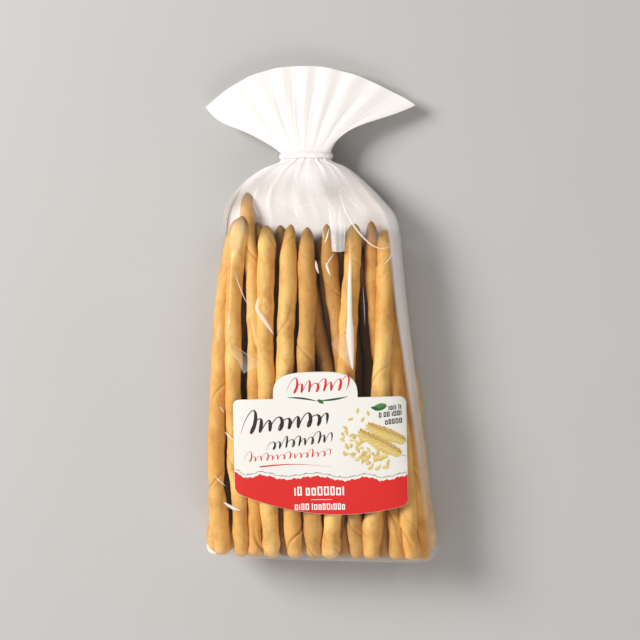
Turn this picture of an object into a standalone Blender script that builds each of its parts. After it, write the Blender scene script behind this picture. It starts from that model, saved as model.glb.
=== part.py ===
"""A sealed clear bag of hand-rolled breadsticks, lying on its back with its label up.

Three sub-parts: the bag with the sticks that fill it, the printed label stuck on its front, and the
narrow band that closes its neck. +X is the pack's right side, +Y runs from the folded base to the
gathered mouth, and +Z is the labelled front. The origin is under the middle of the pack, on the floor.
"""

import bpy
import bmesh
import numpy as np

MM = 0.001

# The bag's body, from its base to its neck. Each row is one cross-section, in millimetres:
# distance from the base, middle, half width, back height and front height above the floor.
BODY_SECTIONS = np.array([
    (7.0, -0.3, 74.0, 0.0, 46.0),
    (38.0, -1.9, 71.8, 0.0, 47.0),
    (70.0, -3.9, 69.8, 0.0, 46.5),
    (102.0, -5.8, 67.1, 0.0, 45.5),
    (165.0, -7.6, 61.2, 0.0, 42.0),
    (203.0, -7.5, 56.9, 0.0, 39.5),
    (216.0, -8.1, 54.6, 0.0, 38.0),
    (228.0, -11.0, 48.2, 1.5, 35.0),
    (241.0, -12.7, 37.0, 6.5, 30.0),
    (248.0, -12.0, 27.4, 9.8, 26.5),
    (253.0, -11.2, 16.6, 13.0, 23.0),
    (257.6, -11.2, 16.6, 13.0, 23.0),
])

BASE_STEPS = ((0.0, 0.955), (1.0, 0.978), (3.2, 0.994))
BASE_LIFT = 2.2
SEAM_HEIGHT = 0.42
STICK_TOPS = 214.0
NECK_START, NECK_END = 253.0, 257.6

# The section's corners: a high power is a square corner, 2 is an ellipse.
FRONT_POWER, BACK_POWER, NECK_POWER = 4.0, 7.0, 2.2
FLOOR_PRESS = 0.6

# Sticks showing through the front, and the folds that gather the film into the neck.
STICKS_ACROSS = 10
STICK_SPAN = 0.88
STICK_GROOVE = 1.6
FOLD_DEPTH = 1.7

# The fan of film above the neck.
FAN_MIDDLE = (-11.4, 255.3)
FAN_SPREAD = np.radians(66.0)
FAN_RADIUS = 59.0
EAR_LENGTH, EAR_SKEW, EAR_POWER = 16.5, 3.5, 3.2
EAR_LIFT = 2.0
FAN_STEPS = (0.08, 0.18, 0.3, 0.44, 0.58, 0.72, 0.86, 1.0)
FAN_NECK_HEIGHT, FAN_MOUTH_HEIGHT = 18.0, 10.5
FAN_NECK_THICKNESS, FAN_MOUTH_THICKNESS = 10.0, 3.2
FAN_PLEATS, PLEAT_HEIGHT = 4.0, 2.6

# The label's outline, measured from its own middle, and how far it is turned on the bag.
LABEL_MIDDLE = (3.2, 70.0)
LABEL_TURN = np.radians(1.7)
LABEL_HALF_WIDTH = 55.0
LABEL_GAP, LABEL_THICKNESS = 0.45, 0.4
LABEL_TOP, LABEL_BOTTOM = 31.0, -32.0
TAB_LEFT, TAB_RIGHT, TAB_HEIGHT, TAB_SHOULDER = -27.5, 23.5, 15.4, 5.0
LABEL_CORNER = 5.5
LABEL_BELLY, LABEL_SKEW = 9.4, 4.4
LABEL_ROWS = 9

# The band round the neck.
BAND_WIDTH, BAND_THICKNESS, BAND_GAP = 3.8, 1.1, 0.35
BAND_SIDES = 36

FILM_COLOUR = (0.86, 0.70, 0.50)
LABEL_COLOUR = (0.93, 0.90, 0.85)
BAND_COLOUR = (0.94, 0.93, 0.92)


def smooth_curve(at, places, values):
    """A smooth curve through the rows that never overshoots them: cubic pieces whose slope at each
    row is the harmonic mean of the two chords beside it, or zero where they turn."""
    chords = np.diff(values) / np.diff(places)
    turns = chords[:-1] * chords[1:] <= 0
    total = np.where(turns, 1.0, chords[:-1] + chords[1:])
    inner = np.where(turns, 0.0, 2.0 * chords[:-1] * chords[1:] / total)
    slopes = np.concatenate(([chords[0]], inner, [chords[-1]]))
    k = np.clip(np.searchsorted(places, at) - 1, 0, len(places) - 2)
    span = places[k + 1] - places[k]
    t = np.clip((at - places[k]) / span, 0.0, 1.0)
    rise = values[k] * (1 + 2 * t) * (1 - t) ** 2 + values[k + 1] * t ** 2 * (3 - 2 * t)
    return rise + span * (slopes[k] * t * (1 - t) ** 2 - slopes[k + 1] * t ** 2 * (1 - t))


def section_at(y):
    """Middle, half width, back and front heights of the bag at a distance from its base."""
    places = BODY_SECTIONS[:, 0]
    return [smooth_curve(y, places, BODY_SECTIONS[:, column]) for column in range(1, 5)]


def gather(y):
    """0 along the sticks, 1 at the neck, rising smoothly over the shoulder."""
    t = np.clip((y - STICK_TOPS) / (NECK_START - STICK_TOPS), 0.0, 1.0)
    return t * t * (3.0 - 2.0 * t)


def rounded(q, power):
    """Height of a section's edge, from 1 in the middle to 0 at its sides."""
    return np.clip(1.0 - np.abs(q) ** power, 0.0, 1.0) ** (1.0 / power)


def front_height(q, y):
    """The smooth front of the bag, over the tops of the sticks."""
    middle, half_width, back, front = section_at(y)
    seam = back + SEAM_HEIGHT * (front - back)
    power = FRONT_POWER + (NECK_POWER - FRONT_POWER) * gather(y)
    return seam + (front - seam) * rounded(q, power)


def back_height(q, y):
    """The back of the bag, pressed flat where it lies on the floor."""
    middle, half_width, back, front = section_at(y)
    seam = back + SEAM_HEIGHT * (front - back)
    power = BACK_POWER + (NECK_POWER - BACK_POWER) * gather(y)
    return np.maximum(seam - (seam - back + FLOOR_PRESS) * rounded(q, power), back)


def groove(q, y):
    """Depth of the grooves between the sticks, then of the film's folds over the shoulder."""
    wave = 0.5 - 0.5 * np.cos(np.pi * STICKS_ACROSS * (q / STICK_SPAN + 1.0))
    inside = np.clip((1.0 - np.abs(q)) / (1.0 - STICK_SPAN), 0.0, 1.0)
    along = STICK_GROOVE * (1.0 - gather(y)) + FOLD_DEPTH * 4.0 * gather(y) * (1.0 - gather(y))
    return wave * inside * along


def across():
    """Places across a section, -1 to 1: four to each stick, and closer together round the corners."""
    corner = np.array([0.925, 0.96, 0.985, 1.0])
    flat = np.linspace(-STICK_SPAN, STICK_SPAN, 4 * STICKS_ACROSS + 1)
    return np.concatenate((-corner[::-1], flat, corner))


def body_ring(q, y, scale=1.0, lift=0.0):
    """One cross-section of the body: its front edge and its back edge, from left to right."""
    middle, half_width, back, front = section_at(np.array([y]))
    x = middle + half_width * q * scale
    top = front_height(q, np.array([y])) - groove(q, np.array([y]))
    bottom = back_height(q, np.array([y]))
    centre = 0.5 * (back + front)
    top = centre + (top - centre) * scale
    bottom = np.maximum(bottom, lift)
    along = np.full_like(q, y)
    return np.stack((x, along, top), axis=1), np.stack((x, along, bottom), axis=1)


def fan_ring(q, step):
    """One curved line across the fan: straight at the neck, an arc with two long ears at the mouth,
    waved up and down by the pleats."""
    angle = q * FAN_SPREAD
    radius = FAN_RADIUS + (EAR_LENGTH + EAR_SKEW * q) * np.abs(q) ** EAR_POWER
    neck_middle, neck_half = BODY_SECTIONS[-1, 1], BODY_SECTIONS[-1, 2]
    mouth_x = FAN_MIDDLE[0] + radius * np.sin(angle)
    mouth_y = FAN_MIDDLE[1] + radius * np.cos(angle)
    x = (neck_middle + neck_half * q) * (1 - step) + mouth_x * step
    y = NECK_END * (1 - step) + mouth_y * step
    y = y + EAR_LIFT * q ** 4 * np.sin(np.pi * step ** 0.5) * (1 - step)
    height = FAN_NECK_HEIGHT + (FAN_MOUTH_HEIGHT - FAN_NECK_HEIGHT) * step
    wave = PLEAT_HEIGHT * np.sin(0.5 * np.pi * step) * np.cos(2 * np.pi * FAN_PLEATS * q + 0.6)
    thickness = FAN_NECK_THICKNESS + (FAN_MOUTH_THICKNESS - FAN_NECK_THICKNESS) * step ** 0.4
    half = 0.5 * thickness * rounded(q, NECK_POWER)
    return (np.stack((x, y, height + wave + half), axis=1),
            np.stack((x, y, height + wave - half), axis=1))


def bag_rings():
    """Every cross-section from the base to the mouth."""
    q = across()
    rings = []
    for y, scale in BASE_STEPS:
        rings.append(body_ring(q, y, scale, BASE_LIFT * (1.0 - y / BODY_SECTIONS[0, 0])))
    straight = np.linspace(BODY_SECTIONS[0, 0], STICK_TOPS, 14)
    shoulder = np.linspace(STICK_TOPS, NECK_START, 9)[1:]
    for y in np.concatenate((straight, shoulder, [NECK_END])):
        rings.append(body_ring(q, y))
    for step in FAN_STEPS:
        rings.append(fan_ring(q, step))
    return rings


def joined_mesh(name, points, faces):
    """A closed mesh with its faces pointing out, smooth but for its sharp edges."""
    mesh = bpy.data.meshes.new(name)
    mesh.from_pydata(points, [], faces)
    shape = bmesh.new()
    shape.from_mesh(mesh)
    bmesh.ops.recalc_face_normals(shape, faces=shape.faces)
    bmesh.ops.triangulate(shape, faces=shape.faces)
    shape.to_mesh(mesh)
    shape.free()
    mesh.shade_smooth()
    mesh.set_sharp_from_angle(angle=np.radians(50.0))
    return mesh


def bag_mesh(shift):
    """The rings joined into one skin: the front edge left to right, then the back edge right to left,
    with the base and the mouth closed by strips between the two edges."""
    rings = bag_rings()
    count = len(rings[0][0])
    loops = [np.concatenate((front, back[-2:0:-1])) for front, back in rings]
    size = len(loops[0])
    points = (np.concatenate(loops) + shift) * MM
    faces = []
    for ring in range(len(loops) - 1):
        low, high = ring * size, (ring + 1) * size
        for k in range(size):
            after = (k + 1) % size
            faces.append((low + k, low + after, high + after, high + k))
    for start in (0, (len(loops) - 1) * size):
        for k in range(count - 1):
            corners = [start + k, start + k + 1, start + (size - k - 1) % size, start + (size - k) % size]
            faces.append(tuple(dict.fromkeys(corners)))
    return joined_mesh("bag", points.tolist(), faces)


def label_columns():
    """Places across the label: even, with more at its corners and at the sides of its tab."""
    even = np.linspace(-LABEL_HALF_WIDTH + LABEL_CORNER, LABEL_HALF_WIDTH - LABEL_CORNER, 15)
    turn = LABEL_HALF_WIDTH - LABEL_CORNER * (1.0 - np.sin(np.radians([30.0, 60.0, 80.0, 90.0])))
    tab = np.linspace(-0.5, 0.5, 5) * TAB_SHOULDER
    return np.unique(np.concatenate((even, turn, -turn, TAB_LEFT + tab, TAB_RIGHT + tab)).round(3))


def corner_drop(x):
    """How far a rounded corner has fallen from the label's straight edge."""
    inside = np.clip((np.abs(x) - LABEL_HALF_WIDTH) / LABEL_CORNER + 1.0, 0.0, 1.0)
    return LABEL_CORNER * (1.0 - np.sqrt(1.0 - inside ** 2))


def label_top(x):
    """The label's upper edge: level, with rounded corners and a raised, gently arched tab."""
    rise = np.clip((x - TAB_LEFT) / TAB_SHOULDER + 0.5, 0.0, 1.0)
    fall = np.clip((TAB_RIGHT - x) / TAB_SHOULDER + 0.5, 0.0, 1.0)
    step = (rise * rise * (3 - 2 * rise)) * (fall * fall * (3 - 2 * fall))
    middle = (x - 0.5 * (TAB_LEFT + TAB_RIGHT)) / (TAB_RIGHT - TAB_LEFT)
    return LABEL_TOP + step * TAB_HEIGHT * (1.0 - 0.5 * middle ** 2) - corner_drop(x)


def label_bottom(x):
    """The label's lower edge: a shallow bow, a little lower on the right, with rounded corners."""
    bow = LABEL_BELLY * (1.0 - (x / LABEL_HALF_WIDTH) ** 2)
    return LABEL_BOTTOM - bow - LABEL_SKEW * x / LABEL_HALF_WIDTH + corner_drop(x)


def label_mesh(shift):
    """A thin sheet over the front of the sticks, between its lower and its upper edge."""
    x = label_columns()
    t = np.linspace(0.0, 1.0, LABEL_ROWS)[:, None]
    y = label_bottom(x) * (1 - t) + label_top(x) * t
    cosine, sine = np.cos(LABEL_TURN), np.sin(LABEL_TURN)
    x, y = LABEL_MIDDLE[0] + x * cosine - y * sine, LABEL_MIDDLE[1] + x * sine + y * cosine
    middle, half_width, back, front = section_at(y)
    z = front_height((x - middle) / half_width, y) + LABEL_GAP
    under = np.stack((x, y, z), axis=2).reshape(-1, 3)
    over = under + (0.0, 0.0, LABEL_THICKNESS)
    points = (np.concatenate((under, over)) + shift) * MM
    rows, columns = y.shape
    half = rows * columns
    faces = []
    for r in range(rows - 1):
        for c in range(columns - 1):
            a = r * columns + c
            quad = (a, a + 1, a + columns + 1, a + columns)
            faces.append(quad)
            faces.append(tuple(v + half for v in quad))
    rim = [c for c in range(columns)]
    rim += [r * columns + columns - 1 for r in range(1, rows)]
    rim += [(rows - 1) * columns + c for c in range(columns - 2, -1, -1)]
    rim += [r * columns for r in range(rows - 2, 0, -1)]
    for a, b in zip(rim, rim[1:] + rim[:1]):
        faces.append((a, b, b + half, a + half))
    return joined_mesh("label", points.tolist(), faces)


def band_mesh(shift):
    """A flat oval hoop round the neck: its four edges are ovals, joined into a closed ring."""
    middle, half_width, back, front = BODY_SECTIONS[-1, 1:]
    seam = back + SEAM_HEIGHT * (front - back)
    turn = np.linspace(0.0, 2 * np.pi, BAND_SIDES, endpoint=False)
    q = np.sign(np.cos(turn)) * np.abs(np.cos(turn)) ** (2.0 / NECK_POWER)
    edge = np.sign(np.sin(turn)) * np.abs(np.sin(turn)) ** (2.0 / NECK_POWER)
    centre_y = 0.5 * (NECK_START + NECK_END)
    loops = []
    for grow, side in ((0.0, -0.5), (BAND_THICKNESS, -0.5), (BAND_THICKNESS, 0.5), (0.0, 0.5)):
        out = BAND_GAP + grow
        x = middle + (half_width + out) * q
        rise = np.where(edge > 0, front - seam, seam - back + FLOOR_PRESS) + out
        z = seam + rise * edge
        y = np.full_like(x, centre_y + side * BAND_WIDTH)
        loops.append(np.stack((x, y, z), axis=1))
    points = (np.concatenate(loops) + shift) * MM
    faces = []
    for ring in range(4):
        low, high = ring * BAND_SIDES, (ring + 1) % 4 * BAND_SIDES
        for k in range(BAND_SIDES):
            after = (k + 1) % BAND_SIDES
            faces.append((low + k, low + after, high + after, high + k))
    return joined_mesh("neck_band", points.tolist(), faces)


def material(name, colour, roughness):
    """A plain finish in one colour."""
    finish = bpy.data.materials.new(name)
    finish.use_nodes = True
    shader = finish.node_tree.nodes["Principled BSDF"]
    shader.inputs["Base Color"].default_value = (*colour, 1.0)
    shader.inputs["Roughness"].default_value = roughness
    shader.inputs["Metallic"].default_value = 0.0
    return finish


def add_part(collection, name, mesh, finish):
    """One named sub-part in the pack's collection."""
    mesh.materials.append(finish)
    collection.objects.link(bpy.data.objects.new(name, mesh))


def middle_shift():
    """Moves the pack so that the middle of its footprint is at the origin."""
    points = np.concatenate([edge for ring in bag_rings() for edge in ring])
    low, high = points.min(axis=0), points.max(axis=0)
    return np.array([-0.5 * (low[0] + high[0]), -0.5 * (low[1] + high[1]), -low[2]])


for old in list(bpy.data.objects):
    bpy.data.objects.remove(old, do_unlink=True)

pack = bpy.data.collections.new("breadstick_pack")
bpy.context.scene.collection.children.link(pack)

to_origin = middle_shift()
add_part(pack, "bag", bag_mesh(to_origin), material("film over sticks", FILM_COLOUR, 0.25))
add_part(pack, "label", label_mesh(to_origin), material("label paper", LABEL_COLOUR, 0.5))
add_part(pack, "neck_band", band_mesh(to_origin), material("white band", BAND_COLOUR, 0.4))
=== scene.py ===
"""The looks of a sealed clear bag of hand-rolled breadsticks, lying on its back with its label up.

Sizes are in millimetres from the middle of the bag's folded base line: x to the right, y from the base
to the mouth, z up from the floor. TO_ROW moves them into the frame.
"""

import bpy
import numpy as np
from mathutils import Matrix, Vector


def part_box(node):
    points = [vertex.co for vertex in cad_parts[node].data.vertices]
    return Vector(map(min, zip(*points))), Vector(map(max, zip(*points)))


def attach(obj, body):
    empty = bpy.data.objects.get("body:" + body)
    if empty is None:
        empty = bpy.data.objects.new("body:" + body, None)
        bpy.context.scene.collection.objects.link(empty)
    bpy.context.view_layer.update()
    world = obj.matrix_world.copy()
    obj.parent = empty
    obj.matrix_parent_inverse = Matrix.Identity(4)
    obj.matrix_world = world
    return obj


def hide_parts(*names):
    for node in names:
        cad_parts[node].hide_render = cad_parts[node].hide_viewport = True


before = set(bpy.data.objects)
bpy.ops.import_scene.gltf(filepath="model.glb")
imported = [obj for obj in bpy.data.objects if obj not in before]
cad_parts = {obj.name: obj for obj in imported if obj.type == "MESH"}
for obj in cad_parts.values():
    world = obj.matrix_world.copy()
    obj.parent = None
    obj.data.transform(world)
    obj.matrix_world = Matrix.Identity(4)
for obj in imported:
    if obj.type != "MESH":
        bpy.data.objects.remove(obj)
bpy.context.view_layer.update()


# ==== The bag's form =================================================================================
# A bag of clear film, folded square at the base, packed with sticks and gathered at the neck. Its
# sections across, from base to neck, are the CAD solid's own but for a slightly fuller left shoulder,
# and every other piece is placed by them.

MM = 0.001
ROUND = 2.0 * np.pi
NECK_MIDDLE = -11.2

# Distance from the base, middle, half width, back height and front height.
BODY_SECTIONS = np.array([
    (7.0, -0.3, 74.0, 0.0, 46.0),
    (38.0, -1.9, 71.8, 0.0, 47.0),
    (70.0, -3.9, 69.8, 0.0, 46.5),
    (102.0, -5.8, 67.1, 0.0, 45.5),
    (165.0, -7.6, 61.2, 0.0, 42.0),
    (203.0, -7.9, 57.3, 0.0, 39.5),
    (216.0, -8.8, 55.3, 0.0, 38.0),
    (228.0, -11.3, 48.5, 1.5, 35.0),
    (241.0, -12.7, 37.0, 6.5, 30.0),
    (248.0, -12.0, 27.4, 9.8, 26.5),
    (253.0, NECK_MIDDLE, 16.6, 13.0, 23.0),
    (257.6, NECK_MIDDLE, 16.6, 13.0, 23.0),
])
SEAM_HEIGHT = 0.42
STICK_TOPS = 214.0
NECK_START, NECK_END = 253.0, 257.6
FRONT_POWER, BACK_POWER, NECK_POWER = 5.5, 7.0, 2.2
FLOOR_PRESS = 0.6

bag_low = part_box("bag")[0]
band_low, band_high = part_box("neck_band")
TO_ROW = np.array([0.5 * (band_low.x + band_high.x) / MM - NECK_MIDDLE, bag_low.y / MM, 0.0])


def smooth_curve(at, places, values):
    """A smooth curve through the rows that never overshoots them: cubic pieces whose slope at each
    row is the harmonic mean of the two chords beside it, or zero where they turn."""
    chords = np.diff(values) / np.diff(places)
    turns = chords[:-1] * chords[1:] <= 0
    total = np.where(turns, 1.0, chords[:-1] + chords[1:])
    inner = np.where(turns, 0.0, 2.0 * chords[:-1] * chords[1:] / total)
    slopes = np.concatenate(([chords[0]], inner, [chords[-1]]))
    k = np.clip(np.searchsorted(places, at) - 1, 0, len(places) - 2)
    span = places[k + 1] - places[k]
    t = np.clip((at - places[k]) / span, 0.0, 1.0)
    rise = values[k] * (1 + 2 * t) * (1 - t) ** 2 + values[k + 1] * t ** 2 * (3 - 2 * t)
    return rise + span * (slopes[k] * t * (1 - t) ** 2 - slopes[k + 1] * t ** 2 * (1 - t))


def section_at(y):
    """Middle, half width, back and front heights of the bag at a distance from its base."""
    return [smooth_curve(y, BODY_SECTIONS[:, 0], BODY_SECTIONS[:, column]) for column in range(1, 5)]


def ramp(value, start, end):
    """0 before start, 1 after end, and smooth in between: 3 t^2 - 2 t^3."""
    t = np.clip((value - start) / (end - start), 0.0, 1.0)
    return t * t * (3.0 - 2.0 * t)


def rounded(q, power):
    """Height of a section's edge, from 1 in the middle to 0 at its sides: (1 - |q|^p)^(1/p)."""
    return np.clip(1.0 - np.abs(q) ** power, 0.0, 1.0) ** (1.0 / power)


def front_height(x, y):
    """Height of the smooth front of the bag over a place on the floor."""
    middle, half_width, back, front = section_at(y)
    seam = back + SEAM_HEIGHT * (front - back)
    power = FRONT_POWER + (NECK_POWER - FRONT_POWER) * ramp(y, STICK_TOPS, NECK_START)
    return seam + (front - seam) * rounded((x - middle) / half_width, power)


def back_height(x, y):
    """Height of the back of the bag, pressed flat where it lies on the floor."""
    middle, half_width, back, front = section_at(y)
    seam = back + SEAM_HEIGHT * (front - back)
    power = BACK_POWER + (NECK_POWER - BACK_POWER) * ramp(y, STICK_TOPS, NECK_START)
    return np.maximum(seam - (seam - back + FLOOR_PRESS) * rounded((x - middle) / half_width, power), back)


def grid_faces(rows, columns, closed=False):
    """Four-sided faces of a grid of points stored row by row, facing up where rows run along y and
    columns along x. A closed grid joins its last column to its first."""
    r = np.arange(rows - 1)[:, None] * columns
    c = np.arange(columns if closed else columns - 1)[None, :]
    after = (c + 1) % columns
    return np.stack((r + c, r + after, r + columns + after, r + columns + c), axis=-1).reshape(-1, 4)


def joined(shapes):
    """Several (points, faces) shapes as one, with each one's faces counted on from the last."""
    starts = np.cumsum([0] + [len(points) for points, faces in shapes[:-1]])
    points = np.concatenate([shape[0] for shape in shapes])
    return points, np.concatenate([shape[1] + start for shape, start in zip(shapes, starts)])


def add_piece(name, points, faces, finish, replaced=(), marks=None):
    """One finished piece in the frame: its points and faces, its marks (a value at each point), its
    material and its place in the record."""
    groups = faces if isinstance(faces, (list, tuple)) else [faces]
    corners = np.concatenate([group.ravel() for group in groups]).astype(np.int32)
    sizes = np.concatenate([np.full(len(group), group.shape[1]) for group in groups])
    starts = np.concatenate(([0], np.cumsum(sizes)[:-1])).astype(np.int32)
    mesh = bpy.data.meshes.new(name)
    mesh.vertices.add(len(points))
    mesh.vertices.foreach_set("co", ((points + TO_ROW) * MM).astype(np.float32).ravel())
    mesh.loops.add(len(corners))
    mesh.loops.foreach_set("vertex_index", corners)
    mesh.polygons.add(len(starts))
    mesh.polygons.foreach_set("loop_start", starts)
    mesh.update(calc_edges=True)
    mesh.validate()
    mesh.shade_smooth()
    for mark, values in (marks or {}).items():
        layer = mesh.attributes.new(mark, "FLOAT", "POINT")
        layer.data.foreach_set("value", np.asarray(values, dtype=np.float32).ravel())
    mesh.materials.append(finish)
    piece = bpy.data.objects.new(name, mesh)
    bpy.context.scene.collection.objects.link(piece)
    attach(piece, "root")
    if replaced:
        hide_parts(*replaced)


# ==== The breadsticks ================================================================================
# Grissini: dough rolled and pulled out by hand into long lumpy ropes, with a spiral seam left by the
# twist, baked crisp and golden, with darker pointed ends. They lie loose in the bag, four deep.

STICK_RADIUS = 5.6
STICK_BASE = -0.7
STATIONS = np.array([0.0, 60.0, 115.0, 165.0, 214.0])

# The sticks that show through the front: tip, x at the five stations, how far behind the front film
#  at the base and at the tip, thickness and tone (-1 dark to 1 pale). The darkest tones, on sticks that
#  lie behind others, are partly painted shade.
SHOWN_STICKS = np.array([
    (215.5, -62.0, -65.8, -64.8, -61.6, -57.5, 3.0, 1.0, 0.97, 0.05),
    (217, -48.3, -52.3, -54.8, -54.3, -52.2, 0.0, 0.0, 0.93, 0.5),
    (233.5, -39.0, -41.0, -40.6, -42.0, -48.6, 3.0, 4.0, 0.88, 0.0),
    (210.5, -29.3, -31.5, -33.0, -33.7, -34.8, 0.0, 0.0, 0.99, 0.7),
    (213, -33.0, -34.0, -34.5, -36.6, -42.2, 11.0, 9.0, 0.93, -0.4),
    (211, -21.8, -20.5, -19.5, -21.5, -27.3, 3.5, 9.0, 0.93, -0.95),
    (211, -13.2, -17.5, -20.4, -20.0, -17.8, 0.0, 0.0, 1.03, 0.1),
    (209, -0.8, -4.5, -6.8, -7.0, -7.4, 0.0, 0.0, 1.00, -0.25),
    (211, 27.0, 21.5, 16.6, 9.2, 4.6, 2.0, 6.0, 0.93, -0.4),
    (211, 8.3, 13.5, 18.2, 21.2, 22.3, 0.0, 0.0, 1.00, 0.5),
    (213, 51.5, 46.5, 41.0, 36.0, 31.6, 1.0, 5.0, 0.98, -0.2),
    (207, 35.0, 39.3, 41.6, 42.4, 42.3, 0.0, 0.0, 1.02, 0.2),
    (203, 61.0, 55.5, 48.8, 42.7, 37.5, 0.0, 14.0, 0.98, 0.0),
    (200, 67.5, 60.5, 52.4, 45.7, 42.0, 1.0, 22.0, 0.94, 0.0),
    (202, 16.5, 10.5, 4.6, -5.0, -11.0, 5.0, 13.0, 0.92, -0.5),
    (201, 42.5, 37.0, 31.8, 28.0, 25.0, 6.0, 27.0, 0.92, -0.4),
    (202, -67.8, -67.3, -65.4, -61.4, -58.0, 0.0, 16.0, 0.92, 0.0),
], dtype=float)

# The rows of sticks behind them: height of the row and the number in it, the share of the bag's width
# that a row fills, and how far its sticks stray from even places, upright and one level.
HIDDEN_ROWS = ((6.4, 10), (16.6, 9))
ROW_FILL, ROW_JITTER, ROW_LEAN, ROW_LIFT = 0.96, 0.012, 0.05, 0.6
HIDDEN_TIPS, HIDDEN_GIRTH, HIDDEN_TONE = (199.0, 205.0), (0.93, 1.04), (-0.4, 0.4)
SHOWN_RISE, HIDDEN_RISE = (0.0, 0.7), (0.0, 4.0)
LEVELS = np.linspace(0.0, 235.0, 20)
FILM_CLEARANCE = 0.6
REACHES = (-0.85, -0.45, 0.0, 0.45, 0.85)
SETTLE_ROUNDS, SMOOTH_EVERY = 320, 4
PUSH_SHARE, PULL_BACK = 0.45, 0.06
END_MARGINS = (12.0, 8.0)

chance = np.random.default_rng(21)


def seated_rows():
    """First places for the hidden sticks: even across each row, following the sides of the bag, with
    a little lean and jitter. Gives x and z at every level."""
    middle, half_width = section_at(LEVELS)[:2]
    rows_x, rows_z = [], []
    for height, count in HIDDEN_ROWS:
        place = np.linspace(-ROW_FILL, ROW_FILL, count)[:, None] + chance.normal(0.0, ROW_JITTER, (count, 1))
        lean = chance.normal(0.0, ROW_LEAN, (count, 1)) * (LEVELS / LEVELS[-1] - 0.5)
        rows_x.append(middle + (half_width - STICK_RADIUS - 1.0) * (place + lean))
        rows_z.append(height + chance.normal(0.0, ROW_LIFT, (count, 1)) + 0.0 * LEVELS)
    return np.concatenate(rows_x), np.concatenate(rows_z)


def highest_centre(x, y, radius):
    """How high a round stick may lie under the front film: the film's height at five places across it,
    less the stick's own height there."""
    room = radius + FILM_CLEARANCE
    return np.min([front_height(x + k * room, y) - room * np.sqrt(1 - k * k) for k in REACHES], axis=0)


def stick_paths():
    """The settled paths of all sticks. Each starts at its own place; then, in small steps, sticks that
    overlap at a level push each other apart, stay inside the film, and are smoothed by fitting a cubic
    along their length. Shown sticks keep their x. Gives x, z, base, tip, radius and tone."""
    shown = len(SHOWN_STICKS)
    shown_x = np.array([smooth_curve(LEVELS, STATIONS, row[1:6]) for row in SHOWN_STICKS])
    beyond = (LEVELS - STATIONS[-1]).clip(0.0)
    slope = (SHOWN_STICKS[:, 5] - SHOWN_STICKS[:, 4]) / (STATIONS[-1] - STATIONS[-2])
    shown_x = shown_x + slope[:, None] * beyond
    hidden_x, hidden_z = seated_rows()
    hidden = len(hidden_x)
    tip = np.concatenate((SHOWN_STICKS[:, 0], chance.uniform(*HIDDEN_TIPS, hidden)))
    rise = np.concatenate((chance.uniform(*SHOWN_RISE, shown), chance.uniform(*HIDDEN_RISE, hidden)))
    base = STICK_BASE + rise
    radius = STICK_RADIUS * np.concatenate((SHOWN_STICKS[:, 8], chance.uniform(*HIDDEN_GIRTH, hidden)))
    tone = np.concatenate((SHOWN_STICKS[:, 9], chance.uniform(*HIDDEN_TONE, hidden)))
    along = LEVELS / STICK_TOPS
    behind = SHOWN_STICKS[:, 6:7] * (1 - along) + SHOWN_STICKS[:, 7:8] * along
    room = radius[:, None] + FILM_CLEARANCE
    wanted_z = highest_centre(shown_x, LEVELS, radius[:shown, None]) - behind.clip(0.0)
    x, z = np.concatenate((shown_x, hidden_x)), np.concatenate((wanted_z, hidden_z))
    there = (LEVELS > base[:, None] - END_MARGINS[0]) & (LEVELS < tip[:, None] + END_MARGINS[1])
    pair = there[:, None] & there[None, :] & ~np.eye(len(x), dtype=bool)[:, :, None]
    girth = (radius[:, None] + radius[None, :])[:, :, None]
    middle, half_width, back = section_at(LEVELS)[:3]
    powers = np.vander(2.0 * LEVELS / LEVELS[-1] - 1.0, 4)
    fit = (powers @ np.linalg.pinv(powers)).T
    for step in range(SETTLE_ROUNDS):
        dx, dz = x[:, None] - x[None], z[:, None] - z[None]
        apart = np.hypot(dx, dz) + 1e-6
        push = PUSH_SHARE * (girth - apart).clip(0.0) * pair / apart
        move_x, move_z = (push * dx).sum(axis=1), (push * dz).sum(axis=1)
        x[shown:] += move_x[shown:]
        z += move_z
        z[:shown] += PULL_BACK * (wanted_z - z[:shown])
        if step % SMOOTH_EVERY == SMOOTH_EVERY - 1:
            x[shown:] = x[shown:] @ fit
            z = z @ fit
        limit = half_width - room
        x[shown:] = np.clip(x[shown:], middle - limit[shown:], middle + limit[shown:])
        z = np.clip(z, back + room, np.maximum(highest_centre(x, LEVELS, radius[:, None]), back + room))
    return x, z, base, tip, radius, tone


paths_x, paths_z, bases, tips, radii, tones = stick_paths()


def path_at(values, y):
    """Values given at the levels, read at other distances from the base, for every stick."""
    return np.array([smooth_curve(row_y, LEVELS, row) for row, row_y in zip(values, y)])


def wrapped(angle):
    """An angle brought into -pi to pi."""
    return (angle + np.pi) % ROUND - np.pi


# The first and last rows of a stick stand a little in from its ends, and rows crowd towards both.
ROW_INSET, ROW_CROWDING = 0.0012, 0.11
# Each stick draws its own: roundness of its ends, girth at the tip, and length of its taper.
END_ROUNDING, TIP_GIRTH, TAPER = (2.4, 3.8), (0.46, 0.66), (16.0, 34.0)
FOOT_GIRTH, FOOT_LENGTH = 0.86, 16.0
# Waves along a stick: their length and their share of its girth, or how far they move it sideways.
LUMPS = ((74.0, 0.03), (41.0, 0.034), (23.0, 0.03), (12.5, 0.014))
SWAYS = ((95.0, 0.45), (47.0, 0.22))
# The seam left by the twist: length of one turn, and the lengths over which it wanders and fades.
SEAM_PITCH, SEAM_WANDER, SEAM_FADE = (34.0, 62.0), 31.0, 130.0
# Its groove, the raised lip beside it and a fainter second groove: place round the stick, width, and
# depth or height as a share of the girth.
GROOVE, LIP, SECOND = (0.0, 0.22, 0.14), (0.55, 0.4, 0.08), (2.6, 0.28, 0.08)
OVAL, THREE_SIDED = 0.035, 0.018
# Where the crust is darkened as painted shade: this far behind the front, in from the sides and up from the
# back.
BEHIND_FRONT, IN_FROM_SIDES, UP_FROM_BACK = 8.0, 4.0, 3.0
BROWN_TIP, BROWN_FOOT = 14.0, 6.0


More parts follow.
